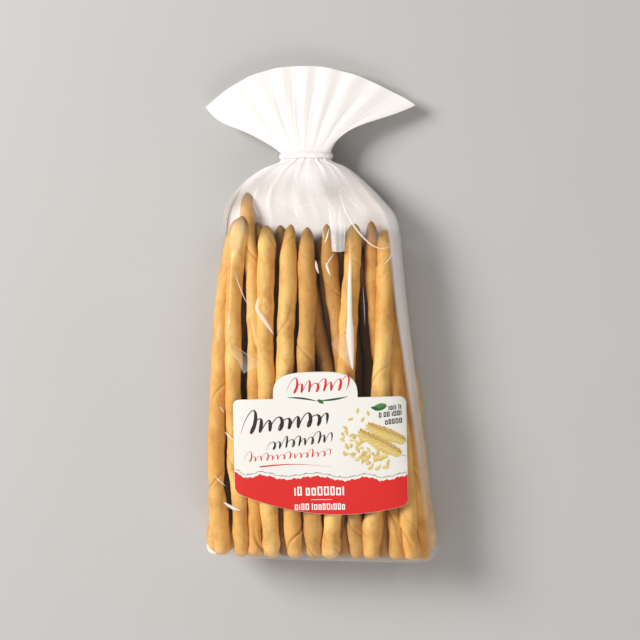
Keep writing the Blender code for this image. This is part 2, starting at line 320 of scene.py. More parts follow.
def eased(share):
    """A quarter of a sine wave: 0 at 0, 1 from 1 on, and level there."""
    return np.sin(0.5 * np.pi * np.clip(share, 0.0, 1.0))


def bell(offset, width):
    """A smooth bump, 1 at its middle: e^-(offset / width)^2."""
    return np.exp(-(offset / width) ** 2)


def stick_surfaces(which, rows, sides):
    """Tubes along the chosen paths: radius = girth x end rounding x lumps x out-of-roundness, less a
    groove along a spiral seam. Returns one grid of points for each stick and the marks on it."""
    count = len(which)

    def draw(low, high):
        return chance.uniform(low, high, (count, 1))

    u = np.linspace(ROW_INSET, 1.0 - ROW_INSET, rows)
    u = u - ROW_CROWDING * np.sin(ROUND * u)
    length = (tips - bases)[which][:, None]
    s = length * u
    y = bases[which][:, None] + s
    from_tip = length - s
    blunt, thin, reach = draw(*END_ROUNDING), draw(*TIP_GIRTH), draw(*TAPER)
    base_end = np.sqrt(1.0 - (1.0 - np.clip(s / blunt, 0.0, 1.0)) ** 2)
    tip_end = eased(from_tip / (1.7 * blunt)) ** 0.5
    taper = thin + (1.0 - thin) * eased(from_tip / reach)
    foot = FOOT_GIRTH + (1.0 - FOOT_GIRTH) * eased(s / FOOT_LENGTH)
    lumps = 1.0 + 0.0 * s
    for wave, share in LUMPS:
        stretch = wave * draw(0.85, 1.15)
        lumps = lumps + share * np.sin(ROUND * s / stretch + draw(0.0, ROUND))
    swell = 1.0 + (lumps - 1.0) * (1.0 + 1.2 * np.exp(-s / 35.0))
    girth = radii[which][:, None] * base_end * tip_end * taper * foot * swell
    sway_x, sway_z = 0.0 * s, 0.0 * s
    for wave, size in SWAYS:
        sway_x = sway_x + size * np.sin(ROUND * s / wave + draw(0.0, ROUND))
        sway_z = sway_z + 0.5 * size * np.sin(ROUND * s / wave + draw(0.0, ROUND))
    centre_x = path_at(paths_x[which], y) + sway_x
    centre_z = path_at(paths_z[which], y) + sway_z
    centre_z = np.minimum(centre_z, highest_centre(centre_x, y, 1.05 * girth))
    centre_z = np.maximum(centre_z, section_at(y)[2] + 1.08 * girth + 0.3)
    pitch = chance.choice([-1.0, 1.0], (count, 1)) * draw(*SEAM_PITCH)
    spiral = ROUND * s / pitch + draw(0.0, ROUND)
    spiral = (spiral + 0.5 * np.sin(ROUND * s / SEAM_WANDER + pitch))[:, :, None]
    off = wrapped(np.linspace(0.0, ROUND, sides, endpoint=False))[None, None, :]
    turn = spiral + off
    strength = 0.1 + 0.9 * np.sin(ROUND * s / SEAM_FADE + draw(0.0, ROUND)) ** 4
    strength = (strength * (0.65 + 0.4 * np.exp(-s / 50.0)) + 0.25 * np.exp(-s / 30.0))[:, :, None]
    groove = bell(off - GROOVE[0], GROOVE[1]) * strength
    lip = bell(off - LIP[0], LIP[1]) * strength
    second = bell(wrapped(off - SECOND[0]), SECOND[1]) * strength * 0.6
    oval = OVAL * np.cos(2 * (turn - 0.6 * spiral)) + THREE_SIDED * np.cos(3 * turn + 0.7 * spiral)
    relief = 1.0 + oval + LIP[2] * lip - GROOVE[2] * groove - SECOND[2] * second
    out = girth[:, :, None] * relief
    points = np.stack((centre_x[:, :, None] + out * np.sin(turn),
                       y[:, :, None] + 0.0 * out,
                       centre_z[:, :, None] + out * np.cos(turn)), axis=-1)
    px, py, pz = np.moveaxis(points, -1, 0)
    middle, half_width, back = section_at(py)[:3]
    under_front = front_height(px, py) - pz - BEHIND_FRONT
    from_side = half_width - np.abs(px - middle) - IN_FROM_SIDES
    # Painted shade: how far a point lies inside the pack, behind the front and in from the sides and back.
    # The crust is darkened there for the shade it lies in, less towards the tips.
    shade_depth = np.minimum(np.minimum(np.minimum(under_front, from_side), pz - back - UP_FROM_BACK), 0.35 * py)
    browned = ramp(BROWN_TIP - from_tip, 0.0, 13.0) + 0.25 * ramp(BROWN_FOOT - s, 0.0, BROWN_FOOT)
    marks = {
        "painted_shade": ramp(shade_depth, 0.0, 8.0) * (1.0 - ramp(py, 196.0, 214.0)),
        "seam": groove + 0.7 * second,
        "tip_end": browned[:, :, None] + 0.0 * out,
        "tone": tones[which][:, None, None] + 0.0 * out,
    }
    return points, marks, np.stack((centre_x, y, centre_z), axis=-1)


def add_sticks(name, which, rows, sides, finish):
    """The chosen sticks as one piece. The first and last ring of each tube close in a point."""
    points, marks, centres = stick_surfaces(which, rows, sides)
    tube = grid_faces(rows, sides, closed=True)
    first = np.arange(sides)
    after = (first + 1) % sides
    pole = rows * sides
    foot = np.stack((first, after, np.full(sides, pole)), axis=1)[:, ::-1]
    top = np.stack((after + pole - sides, first + pole - sides, np.full(sides, pole + 1)), axis=1)[:, ::-1]
    step = np.arange(len(which))[:, None, None] * (pole + 2)
    poles = centres[:, [0, -1]]
    cloud = np.concatenate((points.reshape(len(which), -1, 3), poles), axis=1).reshape(-1, 3)
    ends = np.concatenate((foot, top))
    faces = [(tube[None] + step).reshape(-1, 4), (ends[None] + step).reshape(-1, 3)]
    full_marks = {}
    for mark, values in marks.items():
        values = values.reshape(len(which), -1)
        full_marks[mark] = np.concatenate((values, values[:, [0, -1]]), axis=1)
    add_piece(name, cloud, faces, finish, ("bag",), full_marks)


def grain_group():
    """The grain that every finish here has, as a group: noise of a given size at each place, drawn out
    along the axes. Scale is in features for each metre."""
    group = bpy.data.node_groups.new("surface grain", "ShaderNodeTree")
    for name in ("Place", "Stretch", "Scale", "Detail", "Harshness"):
        kind = "NodeSocketVector" if name in ("Place", "Stretch") else "NodeSocketFloat"
        group.interface.new_socket(name, in_out="INPUT", socket_type=kind)
    group.interface.new_socket("Grain", in_out="OUTPUT", socket_type="NodeSocketFloat")
    given = group.nodes.new("NodeGroupInput").outputs
    mapping = group.nodes.new("ShaderNodeMapping")
    noise = group.nodes.new("ShaderNodeTexNoise")
    group.links.new(given["Place"], mapping.inputs["Vector"])
    group.links.new(given["Stretch"], mapping.inputs["Scale"])
    group.links.new(mapping.outputs["Vector"], noise.inputs["Vector"])
    for name, socket in (("Scale", "Scale"), ("Detail", "Detail"), ("Harshness", "Roughness")):
        group.links.new(given[name], noise.inputs[socket])
    group.links.new(noise.outputs["Fac"], group.nodes.new("NodeGroupOutput").inputs["Grain"])
    return group


surface_grain = grain_group()


class Finish:
    """A material in the making. Each method adds a node and gives the socket that it puts out; a value
    given to it is set on its own socket, and another node's socket is linked to it."""

    def __init__(self, name):
        self.material = bpy.data.materials.new(name)
        self.material.use_nodes = True
        self.nodes = self.material.node_tree.nodes
        self.nodes.clear()
        self.place = self.node("ShaderNodeTexCoord").outputs["Object"]

    def node(self, kind, **inputs):
        """A node of a kind, with inputs given by their names, spaces written as underscores."""
        node = self.nodes.new(kind)
        for name, value in inputs.items():
            self.give(node.inputs[name.replace("_", " ")], value)
        return node

    def give(self, socket, value):
        """Links a socket to another node's, or sets it to a plain value."""
        if isinstance(value, bpy.types.NodeSocket):
            self.material.node_tree.links.new(value, socket)
        else:
            socket.default_value = (*value, 1.0) if socket.type == "RGBA" else value

    def mark(self, name):
        """The value of a mark stored on a piece's points."""
        node = self.node("ShaderNodeAttribute")
        node.attribute_name = name
        return node.outputs["Fac"]

    def grain(self, scale, detail=3.0, harshness=0.55, stretch=(1.0, 1.0, 1.0)):
        """The grain group with its own values."""
        node = self.nodes.new("ShaderNodeGroup")
        node.node_tree = surface_grain
        values = {"Place": self.place, "Stretch": stretch, "Scale": scale, "Detail": detail}
        for name, value in (*values.items(), ("Harshness", harshness)):
            self.give(node.inputs[name], value)
        return node.outputs["Grain"]

    def ranged(self, value, low, high, to_low=0.0, to_high=1.0):
        """A value's range brought to another, and held inside it."""
        return self.node("ShaderNodeMapRange", Value=value, From_Min=low, From_Max=high, To_Min=to_low,
                         To_Max=to_high).outputs["Result"]

    def blend(self, share, first, second):
        """A colour between two others."""
        node = self.nodes.new("ShaderNodeMix")
        node.data_type = "RGBA"
        for socket, value in zip((node.inputs[0], node.inputs[6], node.inputs[7]), (share, first, second)):
            self.give(socket, value)
        return node.outputs[2]

    def math(self, operation, first, second):
        """One sum, product or other operation on two values."""
        node = self.nodes.new("ShaderNodeMath")
        node.operation = operation
        self.give(node.inputs[0], first)
        self.give(node.inputs[1], second)
        return node.outputs["Value"]

    def bump(self, height, strength, distance):
        """A surface relief, as a normal."""
        bumps = self.node("ShaderNodeBump", Strength=strength, Distance=distance, Height=height)
        return bumps.outputs["Normal"]

    def done(self, surface):
        """Ends the material with its shader, and gives it back."""
        self.node("ShaderNodeOutputMaterial", Surface=surface)
        return self.material

    def solid(self, **inputs):
        """Ends an opaque material with one shader."""
        return self.done(self.node("ShaderNodeBsdfPrincipled", **inputs).outputs["BSDF"])


CRUST_GOLD = (0.70, 0.335, 0.062)
CRUST_PALE = (0.93, 0.61, 0.20)
CRUST_DEEP = (0.52, 0.205, 0.030)
CRUST_SEAM = (0.30, 0.105, 0.018)
CRUST_TIP = (0.27, 0.150, 0.036)
CRUST_DARK_AND_SHADE = (0.11, 0.040, 0.013)
CRUST_FLOUR = (0.95, 0.74, 0.36)


def crust_finish():
    """Baked crust: gold and pale patches, toasted blotches, brown seams, olive-brown tips, a fine
    floury grain and small pits, with painted shade where a stick lies deep among the others."""
    crust = Finish("baked crust")
    patches = crust.grain(42.0, 3.0, 0.6, (1.0, 0.45, 1.0))
    blotches = crust.grain(95.0, 4.0, 0.6, (1.0, 0.7, 1.0))
    floury = crust.grain(620.0, 3.0, 0.65, (1.0, 0.6, 1.0))
    specks = crust.grain(1500.0, 2.0, 0.5)
    tone = crust.mark("tone")
    pale = crust.math("ADD", crust.ranged(patches, 0.36, 0.66), crust.math("MULTIPLY", tone, 0.35))
    colour = crust.blend(crust.ranged(pale, 0.0, 1.2), CRUST_GOLD, CRUST_PALE)
    tip_share = crust.ranged(blotches, 0.25, 0.6, 0.35, 0.95)
    for share, layer in (
        (crust.math("MULTIPLY", crust.ranged(blotches, 0.50, 0.70), 0.62), CRUST_DEEP),
        # Low tones darken the crust; on sticks lying behind others this is partly painted shade.
        (crust.ranged(tone, 0.0, -1.0, 0.0, 0.8), CRUST_DARK_AND_SHADE),
        (crust.ranged(floury, 0.56, 0.78, 0.0, 0.3), CRUST_FLOUR),
        (crust.ranged(crust.mark("seam"), 0.10, 0.95, 0.0, 0.62), CRUST_SEAM),
        # Painted shade, darker where a stick lies deep among the others.
        (crust.ranged(crust.mark("painted_shade"), 0.0, 1.0, 0.0, 0.88), CRUST_DARK_AND_SHADE),
        (crust.math("MULTIPLY", crust.mark("tip_end"), tip_share), CRUST_TIP),
        (crust.ranged(specks, 0.68, 0.8, 0.0, 0.5), CRUST_DEEP),
    ):
        colour = crust.blend(share, colour, layer)
    height = crust.math("ADD", crust.math("MULTIPLY", blotches, 1.4), floury)
    return crust.solid(Specular_IOR_Level=0.35, Base_Color=colour, Normal=crust.bump(height, 0.5, 0.0006),
                       Roughness=crust.ranged(floury, 0.3, 0.7, 0.5, 0.72))


crust = crust_finish()
LEFT_STICKS = 8
SHOWN_GRID, HIDDEN_GRID = (210, 40), (100, 20)
shown_indices = np.arange(len(SHOWN_STICKS))
hidden_indices = np.arange(len(SHOWN_STICKS), len(paths_x))
add_sticks("front_sticks_left", shown_indices[:LEFT_STICKS], *SHOWN_GRID, crust)
add_sticks("front_sticks_right", shown_indices[LEFT_STICKS:], *SHOWN_GRID, crust)
add_sticks("inner_sticks", hidden_indices, *HIDDEN_GRID, crust)


# ==== The film =======================================================================================
# One tube of clear film, thinner than a hair, stretched over the sticks, folded in at the sides, creased
# here and there, and gathered into pleats at the neck. Where it is folded together it turns milky.

FILM_ROWS_BODY = 270
FILM_ROWS_SHOULDER = 64
FILM_ROWS_FAN = 60
FRONT_COLUMNS, BACK_COLUMNS = 176, 60
FILM_LIFT, FILM_SAG, FILM_SLACK = 0.3, 5.0, 0.15
FILM_LEAST = 0.12
RELAX_STEPS, ACROSS_SHARE, ALONG_SHARE = 160, 0.36, 0.14
BASE_STEPS = ((-0.9, 0.962), (-0.5, 0.974), (0.2, 0.985), (1.2, 0.993), (2.8, 0.998), (5.0, 1.0))
FAN_MIDDLE = (-11.4, 255.3)
FAN_SPREAD, FAN_TURN = np.radians(64.4), np.radians(1.0)
# The fan's reach from its middle, from its left ear to its right.
FAN_REACH = np.array([(-1.0, 76.5), (-0.8, 71.0), (-0.55, 66.0), (-0.3, 62.0), (0.0, 59.3), (0.25, 59.3),
                      (0.55, 62.4), (0.76, 67.0), (1.0, 77.3)])
EAR_LIFT, EAR_DROP = (1.2, 8.5), 3.5
FAN_NECK_HEIGHT, FAN_MOUTH_HEIGHT = 18.0, 10.5
FAN_NECK_THICKNESS, FAN_MOUTH_THICKNESS = 10.0, 1.4
FAN_PLEATS, PLEAT_HEIGHT = 4.0, 0.42


# Half width and rise of a typical section, by which the columns of the film are spread.
TYPICAL_HALF, TYPICAL_RISE = 66.0, 26.0


def spread(count):
    """Places from -1 to 1 across the bag, even along the curve of a typical section's front."""
    q = np.sin(np.linspace(0.0, 0.5 * np.pi, 4000)) ** 0.4
    q[0] = 0.0
    steps = np.hypot(np.diff(q) * TYPICAL_HALF, np.diff(rounded(q, FRONT_POWER)) * TYPICAL_RISE)
    length = np.concatenate(([0.0], np.cumsum(steps)))
    half = np.interp(np.linspace(0.0, length[-1], count // 2 + 1), length, q)
    even = np.linspace(-1.0, 1.0, count)
    return np.sign(even) * np.interp(np.abs(even), np.linspace(0.0, 1.0, len(half)), half)


def stick_tops(x, y):
    """The highest stick surface above each place of a grid, and -inf where there's none: the highest
    of centre + sqrt(radius^2 - offset^2)."""
    shown = len(SHOWN_STICKS)
    rows = np.broadcast_to(y[:, 0], (shown, len(y)))
    centre_x, centre_z = path_at(paths_x[:shown], rows), path_at(paths_z[:shown], rows)
    reach = radii[:shown, None] * 1.05 * ramp(tips[:shown, None] - rows, -1.0, 9.0)
    inside = reach[:, :, None] ** 2 - (x[None] - centre_x[:, :, None]) ** 2
    tops = np.where(inside > 0.0, centre_z[:, :, None] + np.sqrt(inside.clip(0.0)), -np.inf)
    return tops.max(axis=0)


def pleats(q, folds):
    """Gathered folds across the film: ridged waves, sharp on top and soft below. Each is given by its
    number, size and phase."""
    total = 0.0 * q
    for count, size, phase in folds:
        total = total + size * (0.5 - np.abs(np.sin(np.pi * count * q + phase)) ** 0.8)
    return total


SHOULDER_PLEATS = ((3.5, 0.6, 0.7), (6.0, 0.3, 0.2), (10.0, 0.12, 1.1))
FAN_FINE_PLEATS = ((7.0, 0.2, 0.4), (15.0, 0.12, 1.3))
TUCKED_PLEATS = ((2.5, 0.7, 0.4), (5.0, 0.3, 1.2), (9.0, 0.1, 0.3))


def front_film():
    """The front of the film as a grid of points: a membrane over the sticks. It starts as the smooth
    front, then each point moves to the mean of its neighbours but never below a stick."""
    shoulder = STICK_TOPS - 4.0
    y = np.concatenate((np.linspace(BODY_SECTIONS[0, 0], shoulder, FILM_ROWS_BODY),
                        np.linspace(shoulder, NECK_END, FILM_ROWS_SHOULDER)[1:]))[:, None]
    q = spread(FRONT_COLUMNS)[None, :]
    middle, half_width = section_at(y)[:2]
    x = middle + half_width * q
    smooth = front_height(x, y)
    floor = np.maximum(stick_tops(x, y) + FILM_LIFT, smooth - FILM_SAG * rounded(q, 6.0) ** 3)
    floor = np.minimum(floor, smooth + FILM_SLACK)
    z = smooth.copy()
    for step in range(RELAX_STEPS):
        mean = z.copy()
        beside, before_after = z[1:-1, :-2] + z[1:-1, 2:], z[:-2, 1:-1] + z[2:, 1:-1]
        mean[1:-1, 1:-1] = ACROSS_SHARE * beside + ALONG_SHARE * before_after
        z = np.maximum(mean, floor)
        z[:, 0], z[:, -1] = smooth[:, 0], smooth[:, -1]
        z[0], z[-1] = smooth[0], smooth[-1]
    over = ramp(y, STICK_TOPS - 3.0, STICK_TOPS + 12.0)
    z = z * (1.0 - over) + smooth * over
    fold = ramp(y, STICK_TOPS + 14.0, NECK_START - 2.0) * (1.0 - ramp(y, NECK_START, NECK_END))
    side = 1.0 - ramp(np.abs(q), 0.8, 1.0)
    z = z + fold * side * pleats(q + 0.02 * np.sin(y / 9.0), SHOULDER_PLEATS)
    return x, y + 0.0 * x, z, q + 0.0 * x


film_x, film_y, film_z, film_q = front_film()


def film_height(x, y):
    """Height of the front film over a place, between the four nearest points of its grid."""
    middle, half_width = section_at(y)[:2]
    q = (x - middle) / half_width
    row = np.interp(y, film_y[:, 0], np.arange(len(film_y)))
    column = np.interp(q, film_q[0], np.arange(film_q.shape[1]))
    r = np.clip(row.astype(int), 0, film_z.shape[0] - 2)
    c = np.clip(column.astype(int), 0, film_z.shape[1] - 2)
    a, b = row - r, column - c
    low = film_z[r, c] * (1 - b) + film_z[r, c + 1] * b
    high = film_z[r + 1, c] * (1 - b) + film_z[r + 1, c + 1] * b
    return low * (1 - a) + high * a


def fan_points(q, step, side):
    """Part of the fan of film above the neck: straight at the neck, and at the mouth an arc that reaches
    further at its two ears, waved by pleats that spread from the neck. side is 1 for its front and -1
    for its back."""
    angle = q * FAN_SPREAD + FAN_TURN * q ** 2
    radius = smooth_curve(q, FAN_REACH[:, 0], FAN_REACH[:, 1])
    neck_half = BODY_SECTIONS[-1, 2]
    mouth_x = FAN_MIDDLE[0] + radius * np.sin(angle)
    mouth_y = FAN_MIDDLE[1] + radius * np.cos(angle)
    x = (NECK_MIDDLE + neck_half * q) * (1 - step) + mouth_x * step
    y = NECK_END * (1 - step) + mouth_y * step
    lift = np.where(q > 0, EAR_LIFT[1], EAR_LIFT[0]) * q ** 4
    y = y + lift * np.sin(np.pi * step ** 0.55) * np.sqrt(1 - step)
    y = y - EAR_DROP * (q < 0) * np.abs(q) ** 6 * np.sin(np.pi * step ** 3)
    height = FAN_NECK_HEIGHT + (FAN_MOUTH_HEIGHT - FAN_NECK_HEIGHT) * step
    opened = np.sin(0.5 * np.pi * step)
    wave = PLEAT_HEIGHT * opened * np.cos(ROUND * FAN_PLEATS * q + 0.6)
    fine = pleats(q + 0.03 * np.sin(5.0 * step), FAN_FINE_PLEATS)
    fine = fine * np.sin(np.pi * step) ** 0.7 * (1.0 - ramp(np.abs(q), 0.85, 1.0))
    thickness = FAN_NECK_THICKNESS + (FAN_MOUTH_THICKNESS - FAN_NECK_THICKNESS) * step ** 0.4
    return np.stack((x, y, height + wave + fine + 0.5 * side * thickness * rounded(q, NECK_POWER)), axis=-1)


def film_loops():
    """Every closed loop of the film from base to mouth: its front from left to right, then its back
    from right to left. Gives the points and the milkiness of each."""
    front = np.stack((film_x, film_y, film_z), axis=-1)
    q_front, q_back = spread(FRONT_COLUMNS), spread(BACK_COLUMNS)[::-1][1:-1]
    rows = film_y[:, :1]
    middle, half_width = section_at(rows)[:2]
    back_x = middle + half_width * q_back
    back_heights = np.maximum(back_height(back_x, rows), FILM_LEAST)
    back = np.stack((back_x, rows + 0.0 * back_x, back_heights), axis=-1)
    body = np.concatenate((front, back), axis=1)
    centre = np.array([BODY_SECTIONS[0, 1], 0.0, 0.5 * BODY_SECTIONS[0, 4]])
    base = []
    for y, scale in BASE_STEPS:
        ring = body[0].copy()
        ring[:, 0] = centre[0] + (ring[:, 0] - centre[0]) * scale
        ring[:, 2] = np.maximum(centre[2] + (ring[:, 2] - centre[2]) * scale, FILM_LEAST)
        ring[:, 1] = y
        base.append(ring)
    steps = np.linspace(0.0, 1.0, FILM_ROWS_FAN)[1:, None] ** 1.3
    fan_front = fan_points(q_front[None, :], steps, 1.0)
    fan = np.concatenate((fan_front, fan_points(q_back[None, :], steps, -1.0)), axis=1)
    loops = np.concatenate((np.array(base), body, fan))
    q = np.broadcast_to(np.concatenate((q_front, q_back)), loops.shape[:2])
    is_front = np.broadcast_to(np.arange(q.shape[1]) < FRONT_COLUMNS, loops.shape[:2])
    return loops, milkiness(loops, q, is_front)


# Haze where the film is clear, over the front and the back, and how it grows where the film is gathered:
# size, start and end of each rise.
CLEAR_HAZE = (0.008, 0.03)
FRONT_GATHER = ((0.12, 206.0, 224.0), (0.82, 227.0, 250.0))
BACK_GATHER = ((0.88, 200.0, 212.0), (0.06, 230.0, 252.0))
# The line where the gathered front turns milky rises and falls in waves: size, number and phase.
UNEVEN_LINE = ((4.0, 4.3, 0.9), (2.2, 11.0, 0.0), (1.2, 23.0, 2.0))
# The folded-in strip down the right side: its width and haze at the base, and what each gains above.
STRIP_WIDTH, STRIP_HAZE = (2.6, 1.6), (0.21, 0.62)
# The rim of the shoulders: width, haze, and where it starts and is full on the left and on the right.
RIM_WIDTH, RIM_HAZE, LEFT_RIM, RIGHT_RIM = 3.0, 0.6, (209.0, 226.0), (170.0, 216.0)
LEFT_EDGE_HAZE, BACK_EDGE_HAZE = 0.14, 0.10
BASE_HAZE, BASE_HAZE_DEPTH = 0.13, 3.0
BASE_CAP_HAZE, MOUTH_CAP_HAZE, MOST_HAZE = 0.12, 0.95, 0.97


def rises(y, steps):
    """A sum of smooth rises."""
    return sum(size * ramp(y, start, end) for size, start, end in steps)


def milkiness(points, q, is_front):
    """How milky the film is: clear over the sticks, hazy at the base and down the folded-in right side,
    and white where it is gathered above them, from an uneven line upwards."""
    y = points[..., 1]
    uneven = y + sum(size * np.sin(number * q + phase) for size, number, phase in UNEVEN_LINE)
    gathered = np.where(is_front, rises(uneven, FRONT_GATHER), rises(y, BACK_GATHER))
    half_width = section_at(y)[1]
    from_edge = (1.0 - np.abs(q)) * half_width
    strip = STRIP_WIDTH[0] + STRIP_WIDTH[1] * ramp(y, 90.0, 170.0)
    right = (q > 0) * (1.0 - ramp(from_edge, strip - 1.0, strip + 1.0))
    right = right * (STRIP_HAZE[0] + STRIP_HAZE[1] * ramp(y, 15.0, 140.0))
    left = (q < 0) * (1.0 - ramp(from_edge, 0.3, 1.6)) * LEFT_EDGE_HAZE
    rim = np.where(q < 0, ramp(y, *LEFT_RIM), ramp(y, *RIGHT_RIM))
    rim = rim * (1.0 - ramp(from_edge, 0.4, RIM_WIDTH)) * RIM_HAZE
    base = BASE_HAZE * np.exp(-np.abs(y) / BASE_HAZE_DEPTH)
    clear = np.where(is_front, *CLEAR_HAZE)
    sides = np.maximum(np.where(is_front, right + left, BACK_EDGE_HAZE * np.abs(q) ** 8), rim)
    return np.clip(clear + np.maximum(gathered, np.maximum(sides, base)), 0.0, MOST_HAZE)


FILM_MILK = (0.96, 0.92, 0.90)


def film_finish():
    """Clear film: see-through where the haze mark is low, soft milky white where it is high, with a
    sharp reflection over both that grows towards the edges."""
    film = Finish("clear film")
    clear = film.node("ShaderNodeBsdfTransparent").outputs["BSDF"]
    milk = film.node("ShaderNodeBsdfPrincipled", Base_Color=FILM_MILK, Roughness=0.5).outputs["BSDF"]
    ripple = film.bump(film.grain(70.0, 2.0, 0.5, (1.0, 0.4, 1.0)), 0.35, 0.0008)
    gloss = film.node("ShaderNodeBsdfGlossy", Color=(1.0, 1.0, 1.0), Roughness=0.09, Normal=ripple)
    facing = film.node("ShaderNodeLayerWeight", Blend=0.5).outputs["Facing"]
    shine = film.ranged(film.math("POWER", facing, 4.0), 0.0, 1.0, 0.009, 0.20)
    surface = clear
    for share, shader in ((film.mark("haze"), milk), (shine, gloss.outputs["BSDF"])):
        mix = film.node("ShaderNodeMixShader", Fac=share)
        film.give(mix.inputs[1], surface)
        film.give(mix.inputs[2], shader)
        surface = mix.outputs["Shader"]
    return film.done(surface)


film = film_finish()
loops, loop_haze = film_loops()
loop_count, loop_size = loops.shape[:2]


BASE_CAP_ROWS, MOUTH_CAP_ROWS = 8, 3


def end_cap(which, rows):
    """The points that close one end loop: a grid between the loop's front edge and its back edge, which
    have the same two ends."""
    front = loops[which, :FRONT_COLUMNS]
    back_ids = np.concatenate(([0], np.arange(loop_size - 1, FRONT_COLUMNS - 1, -1), [FRONT_COLUMNS - 1]))
    back = loops[which, back_ids]
    place = np.linspace(0.0, 1.0, len(front))
    back_place = np.linspace(0.0, 1.0, len(back))
    even_back = np.stack([np.interp(place, back_place, back[:, axis]) for axis in range(3)], axis=1)
    t = np.linspace(0.0, 1.0, rows)[:, None, None]
    return (front[None] * (1 - t) + even_back[None] * t).reshape(-1, 3)


base_cap, mouth_cap = end_cap(0, BASE_CAP_ROWS), end_cap(-1, MOUTH_CAP_ROWS)
film_points, film_faces = joined((
    (loops.reshape(-1, 3), grid_faces(loop_count, loop_size, closed=True)),
    (base_cap, grid_faces(BASE_CAP_ROWS, FRONT_COLUMNS)[:, ::-1]),
    (mouth_cap, grid_faces(MOUTH_CAP_ROWS, FRONT_COLUMNS)),
))
cap_haze = (np.full(len(base_cap), BASE_CAP_HAZE), np.full(len(mouth_cap), MOUTH_CAP_HAZE))
film_haze = np.concatenate((loop_haze.ravel(), *cap_haze))
add_piece("film", film_points, film_faces, film, ("bag",), {"haze": film_haze})


def add_film_sheet(name, points, haze):
    """A further sheet of the same film, from its grid of points and their haze."""
    faces = grid_faces(*points.shape[:2])
    add_piece(name, points.reshape(-1, 3), faces, film, (), {"haze": haze})


# ==== The film tucked in behind the tips =============================================================
# The bag's own film, gathered inside it above the sticks before the neck is closed. It is milky, in soft
# folds that run up to the neck, and it closes off the view just under the tips.

TUCK_START, TUCK_REACH, TUCK_HAZE = 197.0, 0.992, 0.96
# Its height between back and front in the middle, how much lower its sides start, and its least gaps.
TUCK_RISE, TUCK_DROP, TUCK_GAPS = 0.47, 0.12, (0.4, 1.0)


def inner_folds():
    """A sheet across the bag from just under the tips to the neck, between front and back, lower at its
    two sides. Its haze fades out along an uneven lower edge."""
    y = np.linspace(TUCK_START, NECK_START, 110)[:, None]
    q = np.linspace(-TUCK_REACH, TUCK_REACH, 130)[None, :]
    middle, half_width, back, front = section_at(y)
    x = middle + half_width * q
    side = ramp(np.abs(q), 0.62, 0.97)
    rise = back + (TUCK_RISE - TUCK_DROP * side * (1.0 - ramp(y, 225.0, 245.0))) * (front - back)
    wave = pleats(q + 0.03 * np.sin(y / 7.0), TUCKED_PLEATS)
    z = rise + wave * ramp(y, 206.0, 226.0) * (1.0 - side)
    z = np.clip(z, back_height(x, y) + TUCK_GAPS[0], front_height(x, y) - TUCK_GAPS[1])
    start = TUCK_START + 5.0 + 1.6 * np.sin(x / 7.0) + 1.0 * np.sin(x / 2.9)
    return np.stack((x, y + 0.0 * x, z), axis=-1), TUCK_HAZE * ramp(y - start, 0.0, 8.0)


add_film_sheet("inner_folds", *inner_folds())


# ==== The folded tongue of film ======================================================================
# A spare end of the same film, folded into a narrow pleated strip. It hangs down behind the front,
# between two sticks, from the shoulder to a straight lower edge.

TONGUE_HEM, TONGUE_LENGTH, TONGUE_MIDDLE = 193.0, 38.0, 14.0


def film_tongue():
    """A strip from its straight hem up to the shoulder, pleated along its length, wider upwards, just
    under the front film. Whitest along one pleat, it fades out towards the shoulder."""
    t = np.linspace(0.0, 1.0, 70)[:, None]
    w = np.linspace(-1.0, 1.0, 40)[None, :]
    y = TONGUE_HEM + TONGUE_LENGTH * t + 0.0 * w
    x = TONGUE_MIDDLE - 0.6 * t + (4.2 + 2.4 * t) * w - 2.5 * t ** 2
    ridge = 0.14 * np.sin(5.3 * w + 0.6 + 0.8 * t) + 0.05 * np.sin(12.0 * w)
    z = film_height(x, y) - 0.55 - ridge - 2.0 * t ** 2
    haze = 0.5 + 0.34 * bell(w + 0.45, 0.16) - 0.14 * ramp(w, 0.0, 1.0)
    return np.stack((x, y, z), axis=-1), haze * (1.0 - ramp(t, 0.45, 0.98))


add_film_sheet("film_tongue", *film_tongue())
